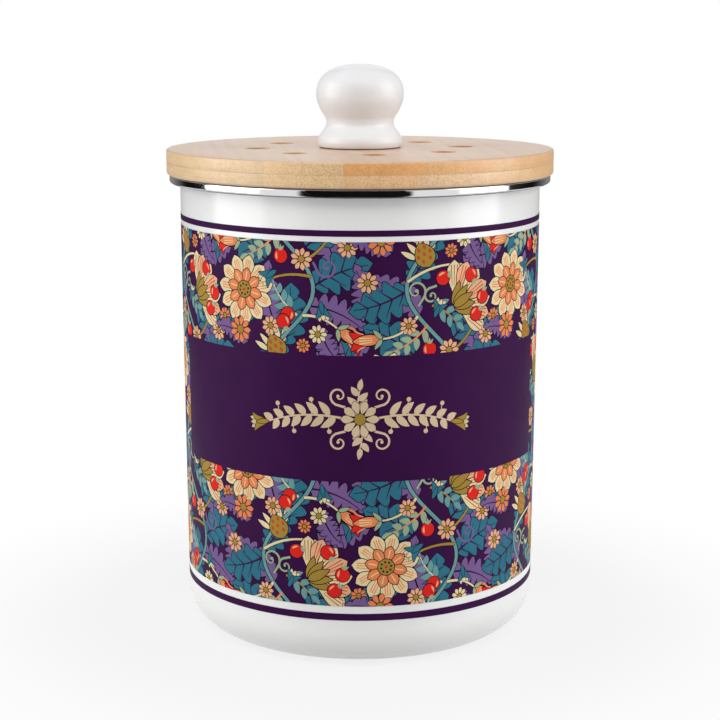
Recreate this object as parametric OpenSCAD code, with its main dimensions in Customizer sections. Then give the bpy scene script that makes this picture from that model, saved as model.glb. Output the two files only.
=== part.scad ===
// Compost caddy: an enamelled steel canister with a printed band, and a
// lift-off bamboo lid that carries a knob, a seal and a charcoal filter.
// Frame: origin at the centre of the standing face, +Z up, front towards -Y.

/* [Canister] */
// Height of the canister to the top of its turned lip
can_h = 202.5; // [150:0.5:260]
// Outside diameter of the wall, measured at the lip
can_d_top = 158.5; // [150:0.5:162]
// Outside diameter that the wall would have at the base
can_d_base = 156; // [148:0.5:162]
// Thickness of the enamelled sheet
wall_t = 1; // [0.8:0.1:1.4]
// Outside radius of the corner between wall and base
corner_r = 17.5; // [10:0.5:24]
// Inner radius of the ring that the canister stands on
foot_inner_r = 47; // [30:1:52]
// How far the middle of the base is raised
base_rise = 1.2; // [0.5:0.1:2.5]

/* [Lip and rim trim] */
// How far the lip stands out from the wall
lip_w = 4.15; // [3.5:0.05:5]
// Height of the lip's down-turned skirt
lip_h = 3; // [2.6:0.1:4]
// Radius of the lip's outer edges
lip_edge_r = 0.8; // [0.3:0.1:0.9]
// Radius of the mouth's inner edge
mouth_r = 2; // [1:0.1:2.5]
// Thickness of the stainless rim trim
trim_t = 0.4; // [0.3:0.05:0.6]

/* [Printed transfer] */
// Thickness of the fired transfer on the enamel
print_t = 0.12; // [0.1:0.01:0.3]
// Height of the pattern's lower edge above the base
pattern_low = 28.5; // [26:0.5:40]
// Height of the patterned band
pattern_h = 152.8; // [100:0.1:156]
// Gap between the pattern and each stripe
stripe_gap = 2.5; // [1.5:0.1:4]
// Width of each stripe
stripe_w = 2.9; // [2:0.1:4]

/* [Lid] */
// How far the lid stands out past the rim trim
lid_overhang = 1.2; // [0.5:0.1:5]
// Thickness of each of the lid's two plies
ply_t = 5.4; // [4:0.1:8]
// Radius of the lid's upper and lower edges
lid_edge_r = 1; // [0.4:0.1:2]
// Number of vent holes
vent_count = 8; // [6:1:10]
// Diameter of a vent hole
vent_d = 11; // [6:0.5:14]
// Diameter of the circle that the vent holes lie on
vent_circle_d = 90; // [70:1:96]
// Angle of the first vent hole, from the front towards the right
vent_start = 7.3; // [0:0.1:44]

/* [Plug and seal] */
// Clearance between the plug ring and the canister wall
plug_gap = 4.25; // [3:0.05:6]
// Width of the plug ring, from the canister wall in to the filter pocket
plug_w = 14; // [13:0.5:17]
// Height of the plug ring
plug_h = 10; // [9:0.5:14]
// Depth of the seal's groove
groove_depth = 2.5; // [2:0.1:3]
// Height of the seal's groove
groove_h = 4; // [3:0.1:5]
// Distance of the groove below the lid
groove_drop = 3; // [1.5:0.1:4]
// How far the seal's back stands proud of the plug ring
seal_proud = 0.6; // [0.2:0.1:1]
// Clearance between the seal's lips and the canister wall
seal_gap = 0.3; // [0.2:0.05:0.5]

/* [Knob] */
// Height of the knob
knob_h = 36.3; // [30:0.1:45]
// Diameter of the knob's head
knob_head_d = 38.4; // [34:0.1:46]
// Diameter of the knob's neck
knob_neck_d = 28.8; // [24:0.1:32]
// Diameter of the knob's base
knob_base_d = 37.6; // [34:0.1:46]
// Height of the neck above the lid
knob_neck_z = 11.8; // [9:0.1:13]
// Height of the head's widest ring above the lid
knob_wide_z = 23.2; // [20:0.1:25]
// Height of the base's widest ring above the lid
knob_foot_z = 2.8; // [2:0.1:4]
// How far the knob's foot is drawn in where it meets the lid
knob_draw_in = 1.2; // [0:0.1:2]
// Fullness of the head's dome, where 2 is an ellipse
knob_fullness = 2.4; // [2:0.1:3]

/* [Knob fixing] */
// Diameter of the knob screw
knob_screw_d = 5; // [4:0.5:6]
// Diameter of the threaded insert in the knob
insert_d = 8; // [7.5:0.5:10]
// Length of the threaded insert
insert_h = 12; // [8:0.5:14]
// How much deeper the insert's hole is than the insert
insert_spare = 2; // [0.5:0.5:4]
// Diameter of the counterbore that hides the screw head
counterbore_d = 16; // [15:0.5:20]
// Depth of the counterbore
counterbore_h = 4; // [3.9:0.05:4.5]
// Diameter of the knob washer
knob_washer_d = 14; // [11:0.5:14.5]
// Thickness of the knob washer
knob_washer_t = 1; // [0.8:0.1:1.1]
// Diameter of the knob screw's head
knob_head_screw_d = 9.5; // [8:0.5:10.5]
// Height of the knob screw's head
knob_head_screw_h = 2.7; // [2.2:0.1:2.8]

/* [Filter] */
// Clearance round the filter and its grille in the pocket
filter_gap = 0.6; // [0.3:0.1:1]
// Thickness of the filter grille
grille_t = 2; // [1.5:0.1:3]
// Width of the grille's plain rim
grille_rim = 9; // [6:0.5:12]
// Width of a rib between two grille slots
grille_rib = 2.4; // [1.6:0.1:3]
// Width of a grille slot
grille_slot = 3.6; // [3:0.1:5]

/* [Screw fits] */
// Radial clearance round a screw, in what turns on it or slips over it
screw_gap = 0.05; // [0.02:0.01:0.1]

/* [Turn buttons] */
// Number of turn buttons that hold the grille up
button_count = 3; // [3:1:3]
// Width of a turn button
button_w = 11; // [9:0.5:11.5]
// Distance between the centres of a button's two round ends
button_arm = 11; // [8:0.5:14]
// Thickness of a turn button
button_t = 3; // [2:0.1:4]
// Clearance between a button and the plug ring
button_gap = 0.15; // [0.1:0.05:0.3]
// Diameter of a button screw
button_screw_d = 3.5; // [3:0.1:4]
// Length of a button screw inside the plug ring
button_bite = 7; // [5:0.5:8]
// Diameter of a button screw's head
button_head_d = 7.2; // [6:0.1:8]
// Height of a button screw's head
button_head_h = 2.2; // [1.8:0.1:3]
// Diameter of a button washer
button_washer_d = 8.6; // [8:0.1:9]
// Thickness of a button washer
button_washer_t = 0.6; // [0.4:0.1:1]

/* [Hidden] */

round_fn = 144;            // facets that a preview gives a large ring
small_fn = 48;             // facets that a preview gives a small hole
corner_steps = 14;         // straight steps in a large rounded corner
edge_steps = 5;            // straight steps in a small rounded edge
knob_steps = 10;           // straight steps in each swelling of the knob
through = 1;               // how far a cutting shape runs past a face
thread_gap = 0.02;         // between a screw's outside and the hole it bites in

base_r = can_d_base / 2;
top_r = can_d_top / 2;
lip_r = top_r + lip_w;     // outside of the lip
trim_r = lip_r + trim_t;   // outside of the trim
seat_z = can_h + trim_t;   // the lid rests here
print_top = pattern_low + pattern_h;

lid_r = trim_r + lid_overhang;
ply_joint_z = seat_z + ply_t;
lid_top_z = seat_z + 2 * ply_t;

plug_r = top_r - wall_t - plug_gap;
plug_z = seat_z - plug_h;  // underside of the plug ring
pocket_r = plug_r - plug_w;
groove_top_z = seat_z - groove_drop;
groove_z = groove_top_z - groove_h;
groove_r = plug_r - groove_depth;

grille_r = pocket_r - filter_gap;
filter_z = plug_z + grille_t;  // the filter lies on the grille

pocket_margin = 0.5;       // a turned button clears the pocket by this
pivot_r = pocket_r + button_w / 2 + pocket_margin;
button_z = plug_z - button_gap - button_t;
washer_z = button_z - button_washer_t;

knob_washer_z = seat_z + counterbore_h - knob_washer_t;
insert_z = lid_top_z;
insert_top_z = insert_z + insert_h;

// Radius of the canister's outside at height z
function can_r(z) = base_r + (top_r - base_r) * z / can_h;

// Points along an arc round (x, y), from angle a to angle b
function arc(x, y, r, a, b, steps = edge_steps) =
    [for (i = [0:steps]) let (t = a + (b - a) * i / steps) [x + r * cos(t), y + r * sin(t)]];

// A solid of revolution round Z, from points (radius, height)
module turned(points) {
    rotate_extrude($fn = round_fn) polygon(points);
}

// A plain upright cylinder
module post(r, z, h) {
    translate([0, 0, z]) cylinder(r = r, h = h, $fn = small_fn);
}

// A plain disc
module disc(r, z, h) {
    turned([[0, z], [r, z], [r, z + h], [0, z + h]]);
}

// A ring with square edges
module ring(r_out, r_in, z, h) {
    turned([[r_in, z], [r_out, z], [r_out, z + h], [r_in, z + h]]);
}

// Puts what follows at one turn button's pivot, turned so that +X points outwards
module at_button(index) {
    rotate([0, 0, 90 + index * 360 / button_count]) translate([pivot_r, 0, 0]) children();
}

module canister() {
    corner_x = can_r(corner_r) - corner_r;
    inner_corner_r = corner_r - wall_t;
    lip_under_z = can_h - wall_t;
    slope = 2 * base_rise;     // width of the step up to the raised middle
    outside = concat(
        [[0, base_rise], [foot_inner_r - slope, base_rise], [foot_inner_r, 0]],
        arc(corner_x, corner_r, corner_r, -90, 0, corner_steps),
        [[can_r(lip_under_z), lip_under_z],
         [lip_r - wall_t, lip_under_z],
         [lip_r - wall_t, can_h - lip_h]],
        arc(lip_r - lip_edge_r, can_h - lip_h + lip_edge_r, lip_edge_r, -90, 0),
        arc(lip_r - lip_edge_r, can_h - lip_edge_r, lip_edge_r, 0, 90));
    inside = concat(
        arc(can_r(can_h) - wall_t + mouth_r, can_h - mouth_r, mouth_r, 90, 180),
        arc(corner_x, corner_r, inner_corner_r, 0, -90, corner_steps),
        [[foot_inner_r, wall_t], [foot_inner_r - slope, base_rise + wall_t], [0, base_rise + wall_t]]);
    color("#f4f4f2") turned(concat(outside, inside));
}

// A thin C-section that is rolled over the lip: top, outside and a hook underneath
module rim_trim() {
    outer_edge_r = lip_edge_r + trim_t;
    top_z = can_h + trim_t;
    low_z = can_h - lip_h;
    top_in_r = top_r - wall_t + mouth_r;     // where the lip's flat top begins
    hook_r = lip_r - wall_t;
    outside = concat(
        [[hook_r, low_z - trim_t]],
        arc(lip_r - lip_edge_r, low_z + lip_edge_r, outer_edge_r, -90, 0),
        arc(lip_r - lip_edge_r, can_h - lip_edge_r, outer_edge_r, 0, 90),
        [[top_in_r, top_z], [top_in_r, can_h]]);
    inside = concat(
        arc(lip_r - lip_edge_r, can_h - lip_edge_r, lip_edge_r, 90, 0),
        arc(lip_r - lip_edge_r, low_z + lip_edge_r, lip_edge_r, 0, -90),
        [[hook_r, low_z]]);
    color("#c4c6c8") turned(concat(outside, inside));
}

// One band of the fired transfer, lying on the tapered wall
module transfer_band(z, h) {
    turned([[can_r(z), z], [can_r(z) + print_t, z],
            [can_r(z + h) + print_t, z + h], [can_r(z + h), z + h]]);
}

module printed_transfer() {
    color("#35113f") {
        transfer_band(pattern_low - stripe_gap - stripe_w, stripe_w);
        transfer_band(pattern_low, pattern_h);
        transfer_band(print_top + stripe_gap, stripe_w);
    }
}

module vent_holes(z, h) {
    for (i = [0:vent_count - 1])
        rotate([0, 0, vent_start - 90 + i * 360 / vent_count])
            translate([vent_circle_d / 2, 0, z - through])
                cylinder(d = vent_d, h = h + 2 * through, $fn = small_fn);
}

module lid_top_ply() {
    profile = concat(
        [[0, ply_joint_z], [lid_r, ply_joint_z]],
        arc(lid_r - lid_edge_r, lid_top_z - lid_edge_r, lid_edge_r, 0, 90),
        [[0, lid_top_z]]);
    color("#dfc09a") difference() {
        turned(profile);
        vent_holes(ply_joint_z, ply_t);
        post(knob_screw_d / 2 + screw_gap, ply_joint_z - through, ply_t + 2 * through);
    }
}

module lid_bottom_ply() {
    profile = concat(
        [[0, seat_z]],
        arc(lid_r - lid_edge_r, seat_z + lid_edge_r, lid_edge_r, -90, 0),
        [[lid_r, ply_joint_z], [0, ply_joint_z]]);
    color("#e6c795") difference() {
        turned(profile);
        vent_holes(seat_z, ply_t);
        post(knob_screw_d / 2 + screw_gap, seat_z - through, ply_t + 2 * through);
        post(counterbore_d / 2, seat_z - through, counterbore_h + through);
    }
}

module plug_ring() {
    profile = [[pocket_r, plug_z], [plug_r, plug_z], [plug_r, groove_z], [groove_r, groove_z],
               [groove_r, groove_top_z], [plug_r, groove_top_z], [plug_r, seat_z], [pocket_r, seat_z]];
    color("#d9b583") difference() {
        turned(profile);
        for (i = [0:button_count - 1])
            at_button(i) post(button_screw_d / 2 + thread_gap, plug_z - through, button_bite + through);
    }
}

// Silicone ring: a back that fills the groove, and two lips that point down and out
module lid_seal() {
    tip_r = can_r(groove_z) - wall_t - seal_gap;
    lip_t = groove_h / 4;      // thickness of a lip at its root
    lip_drop = lip_t;          // how far a lip's tip hangs below its root
    back_r = plug_r + seal_proud;
    upper_z = groove_top_z - lip_t;
    lower_z = groove_z + lip_t;
    profile = [[groove_r, groove_z], [plug_r, groove_z], [back_r, groove_z],
               [tip_r, groove_z - lip_drop + lip_t / 2], [tip_r, groove_z - lip_drop + lip_t],
               [back_r, lower_z], [back_r, upper_z],
               [tip_r, upper_z - lip_drop + lip_t / 2], [tip_r, upper_z - lip_drop + lip_t],
               [back_r, groove_top_z], [groove_r, groove_top_z]];
    color("#e9e9e6") turned(profile);
}

// Radius of the knob at height z above the lid: a flared foot, a waist and a full dome
function knob_r(z) =
    let (head_r = knob_head_d / 2, neck_r = knob_neck_d / 2, foot_r = knob_base_d / 2)
    z <= knob_foot_z
        ? foot_r - knob_draw_in * pow(1 - z / knob_foot_z, 2)
    : z <= knob_neck_z
        ? neck_r + (foot_r - neck_r) * (1 + cos(180 * (z - knob_foot_z) / (knob_neck_z - knob_foot_z))) / 2
    : z <= knob_wide_z
        ? neck_r + (head_r - neck_r) * sin(90 * (z - knob_neck_z) / (knob_wide_z - knob_neck_z))
    : head_r * pow(max(0, 1 - pow((z - knob_wide_z) / (knob_h - knob_wide_z), knob_fullness)),
                   1 / knob_fullness);

module knob() {
    steps = knob_steps;
    flare_h = knob_neck_z - knob_foot_z;
    waist_h = knob_wide_z - knob_neck_z;
    dome_h = knob_h - knob_wide_z;
    heights = concat([for (i = [0:edge_steps]) knob_foot_z * i / edge_steps],
                     [for (i = [1:steps]) knob_foot_z + flare_h * i / steps],
                     [for (i = [1:steps]) knob_neck_z + waist_h * i / steps],
                     [for (i = [1:steps]) knob_wide_z + dome_h * sin(90 * i / steps)]);
    bore_h = insert_h + insert_spare;
    color("#f3f2f0") difference() {
        turned(concat([[0, lid_top_z]], [for (z = heights) [knob_r(z), lid_top_z + z]]));
        post(insert_d / 2 + thread_gap, lid_top_z - through, bore_h + through);
    }
}

module knob_insert() {
    color("#c9a24b") difference() {
        post(insert_d / 2, insert_z, insert_h);
        post(knob_screw_d / 2 + thread_gap, insert_z - through, insert_h + 2 * through);
    }
}

// A pan-head screw: head below, shank above, with a cross recess in the head
module screw(d, head_d, head_h, head_z, length) {
    slot_w = d / 4;
    slot_l = head_d / 2;
    difference() {
        union() {
            post(head_d / 2, head_z, head_h);
            post(d / 2, head_z + head_h / 2, length + head_h / 2);
        }
        for (turn = [0, 90])
            rotate([0, 0, turn])
                translate([-slot_l / 2, -slot_w / 2, head_z - through])
                    cube([slot_l, slot_w, head_h / 2 + through]);
    }
}

module knob_screw() {
    head_z = knob_washer_z - knob_head_screw_h;
    spare = 1;                 // the screw stops this short of the insert's end
    color("#b9bbbd")
        screw(knob_screw_d, knob_head_screw_d, knob_head_screw_h, head_z,
              insert_top_z - spare - knob_washer_z);
}

module knob_washer() {
    color("#aeb0b3")
        ring(knob_washer_d / 2, knob_screw_d / 2 + screw_gap, knob_washer_z, knob_washer_t);
}

module charcoal_filter() {
    color("#2b2c2e") disc(grille_r, filter_z, seat_z - filter_z);
}

// A plate with straight slots that leave a plain rim
module filter_grille() {
    pitch = grille_slot + grille_rib;
    field_r = grille_r - grille_rim;
    rows = floor((field_r - grille_slot / 2) / pitch);
    color("#eceae4") difference() {
        disc(grille_r, plug_z, grille_t);
        for (i = [-rows:rows])
            let (half = sqrt(pow(field_r, 2) - pow(abs(i) * pitch + grille_slot / 2, 2)))
                for (side = [0, 180])
                    rotate([0, 0, side])
                        translate([grille_rib / 2, i * pitch - grille_slot / 2, plug_z - through])
                            cube([half - grille_rib / 2, grille_slot, grille_t + 2 * through]);
    }
}

module turn_button(index) {
    color("#eceae4") at_button(index) difference() {
        union() {
            post(button_w / 2, button_z, button_t);
            translate([-button_arm, 0, 0]) post(button_w / 2, button_z, button_t);
            translate([-button_arm, -button_w / 2, button_z]) cube([button_arm, button_w, button_t]);
        }
        post(button_screw_d / 2 + screw_gap, button_z - through, button_t + 2 * through);
    }
}

module button_screw(index) {
    color("#b9bbbd") at_button(index)
        screw(button_screw_d, button_head_d, button_head_h, washer_z - button_head_h,
              plug_z + button_bite - washer_z);
}

module button_washer(index) {
    color("#aeb0b3") at_button(index)
        ring(button_washer_d / 2, button_screw_d / 2 + screw_gap, washer_z, button_washer_t);
}

canister();
rim_trim();
printed_transfer();
lid_top_ply();
lid_bottom_ply();
plug_ring();
lid_seal();
knob();
knob_insert();
knob_screw();
knob_washer();
charcoal_filter();
filter_grille();
turn_button(0);  // turn_button_1
turn_button(1);  // turn_button_2
turn_button(2);  // turn_button_3
button_screw(0);  // button_screw_1
button_screw(1);  // button_screw_2
button_screw(2);  // button_screw_3
button_washer(0);  // button_washer_1
button_washer(1);  // button_washer_2
button_washer(2);  // button_washer_3
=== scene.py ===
import logging
import math
from collections.abc import Iterable, Sequence
from dataclasses import dataclass, field
from enum import Enum
from typing import Any

import bmesh
import bpy
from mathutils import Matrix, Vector
from mathutils.bvhtree import BVHTree
from mathutils.geometry import delaunay_2d_cdt


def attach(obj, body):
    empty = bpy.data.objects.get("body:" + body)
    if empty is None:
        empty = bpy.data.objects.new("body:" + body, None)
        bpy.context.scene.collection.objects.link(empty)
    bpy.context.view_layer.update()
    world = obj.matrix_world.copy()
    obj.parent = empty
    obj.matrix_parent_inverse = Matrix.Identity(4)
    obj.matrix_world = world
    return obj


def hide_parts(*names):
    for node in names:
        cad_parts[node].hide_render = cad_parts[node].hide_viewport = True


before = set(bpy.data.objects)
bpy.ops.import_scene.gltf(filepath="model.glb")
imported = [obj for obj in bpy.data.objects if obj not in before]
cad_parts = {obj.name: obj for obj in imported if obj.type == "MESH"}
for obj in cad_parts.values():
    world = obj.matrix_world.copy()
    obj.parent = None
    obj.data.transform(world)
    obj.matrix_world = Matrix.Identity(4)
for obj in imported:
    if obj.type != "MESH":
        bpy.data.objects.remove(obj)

LOG = logging.getLogger("compost_caddy")
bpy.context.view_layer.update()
MM = 0.001
TAU = 2 * math.pi
SHARP_FROM = math.radians(32.0)

Outline = list[complex]
Steps = list[tuple[float, float]]
Colour = tuple[float, float, float]


def linear(code: str) -> tuple[float, float, float, float]:
    """Turns a six-digit sRGB code into a linear colour.

    Args:
        code: The colour as #rrggbb.
    Returns:
        Red, green, blue and alpha.
    """
    parts = [int(code[i:i + 2], 16) / 255 for i in (1, 3, 5)]
    red, green, blue = (p / 12.92 if p <= 0.04045 else ((p + 0.055) / 1.055) ** 2.4 for p in parts)
    return red, green, blue, 1.0


# ---------------------------------------------------------------- node trees


class Value:
    """A number in a node tree, with the arithmetic that adds its nodes."""

    def __init__(self, graph: "Graph", socket: bpy.types.NodeSocket) -> None:
        """Keeps the socket and the graph it belongs to."""
        self.graph = graph
        self.socket = socket

    def _math(self, operation: str, *terms: Any, clamp: bool = False) -> "Value":
        """Adds one Math node.

        Args:
            operation: The node's operation.
            terms: Its inputs, as values or numbers.
            clamp: Whether the result is kept between 0 and 1.
        Returns:
            The node's result.
        """
        settings = {"operation": operation, "use_clamp": clamp}
        return self.graph.number("ShaderNodeMath", settings, dict(enumerate(terms)))

    def __add__(self, other: Any) -> "Value":
        """self + other."""
        return self._math("ADD", self, other)

    def __sub__(self, other: Any) -> "Value":
        """self - other."""
        return self._math("SUBTRACT", self, other)

    def __rsub__(self, other: Any) -> "Value":
        """other - self."""
        return self._math("SUBTRACT", other, self)

    def __mul__(self, other: Any) -> "Value":
        """self * other."""
        return self._math("MULTIPLY", self, other)

    def __truediv__(self, other: Any) -> "Value":
        """self / other."""
        return self._math("DIVIDE", self, other)

    def __mod__(self, other: Any) -> "Value":
        """self modulo other, for a self of 0 or more."""
        return self._math("FLOORED_MODULO", self, other)

    def __pow__(self, other: Any) -> "Value":
        """self to the power of other."""
        return self._math("POWER", self, other)

    def __abs__(self) -> "Value":
        """The size of self."""
        return self._math("ABSOLUTE", self)

    def floor(self) -> "Value":
        """The whole number below self."""
        return self._math("FLOOR", self)

    def wave(self, cosine: bool = False) -> "Value":
        """The sine or cosine of self in radians."""
        return self._math("COSINE" if cosine else "SINE", self)

    def clamped(self) -> "Value":
        """self kept between 0 and 1."""
        return self._math("ADD", self, 0.0, clamp=True)

    def between(self, low: float, high: float) -> "Value":
        """0 up to low, 1 from high, and smooth in between; high may be the lower one."""
        ends = {"Value": self, "From Min": low, "From Max": high}
        if low > high:
            ends = {"Value": self, "From Min": high, "From Max": low, "To Min": 1.0, "To Max": 0.0}
        return self.graph.number("ShaderNodeMapRange", {"interpolation_type": "SMOOTHSTEP"}, ends)


class Graph:
    """A node tree and the one way of adding nodes to it."""

    def __init__(self, tree: bpy.types.NodeTree) -> None:
        """Keeps the tree."""
        self.tree = tree

    def node(self, kind: str, settings: dict[str, Any] | None = None,
             inputs: dict[Any, Any] | None = None) -> bpy.types.Node:
        """Adds a node.

        Args:
            kind: The node's type.
            settings: Its own settings, and a ramp's stops as "stops".
            inputs: Values or links for its sockets, by name or number.
        Returns:
            The new node.
        """
        made = self.tree.nodes.new(kind)
        for key, value in (settings or {}).items():
            if key == "stops":
                self._set_stops(made.color_ramp, value)
            else:
                setattr(made, key, value)
        for key, value in (inputs or {}).items():
            source = getattr(value, "socket", value)
            if isinstance(source, bpy.types.NodeSocket):
                self.tree.links.new(source, made.inputs[key])
            else:
                made.inputs[key].default_value = source
        return made

    @staticmethod
    def _set_stops(ramp: bpy.types.ColorRamp, stops: Sequence[tuple[float, Sequence[float]]]) -> None:
        """Sets a ramp's stops from pairs of place and colour."""
        while len(ramp.elements) > 1:
            ramp.elements.remove(ramp.elements[-1])
        for i, (place, colour) in enumerate(stops):
            element = ramp.elements[0] if i == 0 else ramp.elements.new(place)
            element.position = place
            element.color = (*colour[:3], 1.0)

    def number(self, kind: str, settings: dict[str, Any] | None = None,
               inputs: dict[Any, Any] | None = None) -> Value:
        """Adds a node and wraps its first output as a value."""
        return Value(self, self.node(kind, settings, inputs).outputs[0])

    def split(self, vector: bpy.types.NodeSocket) -> tuple[Value, Value, Value]:
        """The three numbers of a vector."""
        parts = self.node("ShaderNodeSeparateXYZ", {}, {0: vector}).outputs
        return Value(self, parts[0]), Value(self, parts[1]), Value(self, parts[2])

    def combined(self, x: Any = 0.0, y: Any = 0.0, z: Any = 0.0) -> bpy.types.NodeSocket:
        """A vector of three numbers."""
        return self.node("ShaderNodeCombineXYZ", {}, {0: x, 1: y, 2: z}).outputs[0]


class Shader(Graph):
    """The node tree of one finish."""

    def __init__(self, name: str, **constants: Any) -> None:
        """Makes a material with a Principled surface.

        Args:
            name: The material's name.
            constants: Fixed values of the surface, with _ for a space in their names.
        """
        self.material = bpy.data.materials.new(name)
        self.material.use_nodes = True
        super().__init__(self.material.node_tree)
        self.tree.nodes.clear()
        fixed = {key.replace("_", " "): value for key, value in constants.items()}
        self.surface = self.node("ShaderNodeBsdfPrincipled", {}, fixed)
        self.node("ShaderNodeOutputMaterial", {}, {"Surface": self.surface.outputs[0]})

    def feed(self, socket: str, value: Any) -> None:
        """Links what varies over the surface to one of its sockets."""
        self.tree.links.new(getattr(value, "socket", value), self.surface.inputs[socket])

    def place(self, stretch: Sequence[float] = (1, 1, 1), turn: float = 0.0) -> bpy.types.NodeSocket:
        """The place on the object, turned about the upright and then stretched.

        Args:
            stretch: How many units one metre becomes along each axis.
            turn: The angle to turn by, in radians.
        Returns:
            A vector socket.
        """
        here = self.node("ShaderNodeTexCoord").outputs["Object"]
        if turn:
            here = self.node("ShaderNodeMapping", {}, {"Vector": here, "Rotation": (0, 0, turn)}).outputs[0]
        if tuple(stretch) != (1, 1, 1):
            inputs = {0: here, 1: tuple(stretch)}
            here = self.node("ShaderNodeVectorMath", {"operation": "MULTIPLY"}, inputs).outputs[0]
        return here

    def radius(self) -> Value:
        """The distance from the upright axis."""
        x, y, _ = self.split(self.place())
        return (x * x + y * y) ** 0.5

    def noise(self, stretch: float | Sequence[float], detail: float = 2.0, roughness: float = 0.5,
              turn: float = 0.0) -> Value:
        """Cloudy noise between 0 and 1.

        Args:
            stretch: Features a metre, alike or for each axis.
            detail: How many finer layers it has.
            roughness: How strong those are.
            turn: The angle of its axes, in radians.
        Returns:
            The noise.
        """
        sizes = (stretch,) * 3 if isinstance(stretch, (int, float)) else stretch
        inputs = {"Vector": self.place(sizes, turn), "Scale": 1.0, "Detail": detail, "Roughness": roughness}
        return self.number("ShaderNodeTexNoise", {}, inputs)

    def cells(self, stretch: Sequence[float], turn: float = 0.0) -> Value:
        """The distance from the middle of the nearest of many scattered cells."""
        return self.number("ShaderNodeTexVoronoi", {}, {"Vector": self.place(stretch, turn), "Scale": 1.0})

    def mix(self, share: Any, first: Any, second: Any, blend: str = "MIX") -> bpy.types.NodeSocket:
        """Mixes two colours.

        Args:
            share: How much of the second one.
            first: A colour or its socket.
            second: A colour or its socket.
            blend: How they are blended.
        Returns:
            A colour socket.
        """
        def full(colour: Any) -> Any:
            """A colour with its alpha."""
            return (*colour, 1.0) if isinstance(colour, tuple) and len(colour) == 3 else colour
        inputs = {0: share, 6: full(first), 7: full(second)}
        return self.node("ShaderNodeMix", {"data_type": "RGBA", "blend_type": blend}, inputs).outputs[2]

    def relief(self, height: Any, depth: float) -> None:
        """Raises the surface by a height of 0 to 1 times the depth in metres."""
        bump = self.node("ShaderNodeBump", {}, {"Height": height, "Distance": depth, "Strength": 1.0})
        self.feed("Normal", bump.outputs[0])


class Growth(Graph):
    """A Geometry Nodes tree with named inputs, used once for each piece it makes."""

    KINDS = {float: "NodeSocketFloat", int: "NodeSocketInt"}

    def __init__(self, name: str, **sizes: type) -> None:
        """Makes the tree and its inputs.

        Args:
            name: The tree's name.
            sizes: The type of each named input.
        """
        tree = bpy.data.node_groups.new(name, "GeometryNodeTree")
        super().__init__(tree)
        sockets = {"Geometry": "NodeSocketGeometry"}
        sockets |= {key: self.KINDS[kind] for key, kind in sizes.items()}
        sockets["Finish"] = "NodeSocketMaterial"
        for key, kind in sockets.items():
            tree.interface.new_socket(key, in_out="INPUT", socket_type=kind)
        tree.interface.new_socket("Geometry", in_out="OUTPUT", socket_type="NodeSocketGeometry")
        self.given = self.node("NodeGroupInput").outputs

    def size(self, name: str) -> Value:
        """One of the tree's named inputs."""
        return Value(self, self.given[name])

    def here(self) -> tuple[Value, Value, Value]:
        """The three numbers of each point's place."""
        return self.split(self.node("GeometryNodeInputPosition").outputs[0])

    def moved(self, geometry: bpy.types.NodeSocket, x: Any, y: Any, z: Any) -> bpy.types.NodeSocket:
        """Puts each point of a geometry at x, y, z."""
        inputs = {"Geometry": geometry, "Position": self.combined(x, y, z)}
        return self.node("GeometryNodeSetPosition", {}, inputs).outputs[0]

    def close(self, geometry: bpy.types.NodeSocket) -> None:
        """Ends the tree: real geometry, its finish, and the output."""
        real = self.node("GeometryNodeRealizeInstances", {}, {0: geometry}).outputs[0]
        inputs = {"Geometry": real, "Material": self.given["Finish"]}
        dressed = self.node("GeometryNodeSetMaterial", {}, inputs).outputs[0]
        self.node("NodeGroupOutput", {}, {0: dressed})

    def grow(self, name: str, seed: bpy.types.Mesh, finish: bpy.types.Material,
             **sizes: Any) -> bpy.types.Mesh:
        """Runs the tree on a mesh.

        Args:
            name: The result's name.
            seed: The mesh that goes in.
            finish: The material it gets.
            sizes: The values of the named inputs.
        Returns:
            A plain mesh.
        """
        host = bpy.data.objects.new(name, seed)
        bpy.context.collection.objects.link(host)
        modifier = host.modifiers.new("grow", "NODES")
        modifier.node_group = self.tree
        sizes["Finish"] = finish
        for socket in self.tree.interface.items_tree:
            if socket.in_out == "INPUT" and socket.name in sizes:
                modifier[socket.identifier] = sizes[socket.name]
        graph = bpy.context.evaluated_depsgraph_get()
        made = bpy.data.meshes.new_from_object(host.evaluated_get(graph), preserve_all_data_layers=True,
                                               depsgraph=graph)
        host.modifiers.remove(modifier)
        bpy.data.objects.remove(host)
        seed.name = f"{name}_blank"
        made.name = name
        return made


# ---------------------------------------------------------------- meshes


def plain_mesh(name: str, points: Iterable[Sequence[float]], faces: Iterable[Sequence[int]] = (),
               edges: Iterable[Sequence[int]] = ()) -> bpy.types.Mesh:
    """Makes a mesh from points in millimetres.

    Args:
        name: The mesh's name.
        points: Its points.
        faces: Its faces.
        edges: Its loose edges.
    Returns:
        The mesh, in metres.
    """
    made = bpy.data.meshes.new(name)
    made.from_pydata([[c * MM for c in point] for point in points], list(edges), list(faces))
    return made


def tidied(made: bpy.types.Mesh) -> bpy.types.Mesh:
    """Merges doubled points, turns the faces outwards and smooths all but sharp edges.

    Args:
        made: A closed mesh.
    Returns:
        The same mesh.
    """
    work = bmesh.new()
    work.from_mesh(made)
    bmesh.ops.remove_doubles(work, verts=work.verts, dist=2e-6)
    bmesh.ops.dissolve_degenerate(work, dist=1e-7, edges=work.edges)
    bmesh.ops.recalc_face_normals(work, faces=work.faces)
    work.to_mesh(made)
    work.free()
    made.shade_smooth()
    made.set_sharp_from_angle(angle=SHARP_FROM)
    return made


def joined(name: str, parts: Sequence[bpy.types.Mesh]) -> bpy.types.Mesh:
    """Puts several meshes of one finish together as one.

    Args:
        name: The result's name.
        parts: The meshes.
    Returns:
        The joined mesh.
    """
    work = bmesh.new()
    for part in parts:
        work.from_mesh(part)
    made = bpy.data.meshes.new(name)
    work.to_mesh(made)
    work.free()
    made.materials.append(parts[0].materials[0])
    return made


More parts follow.
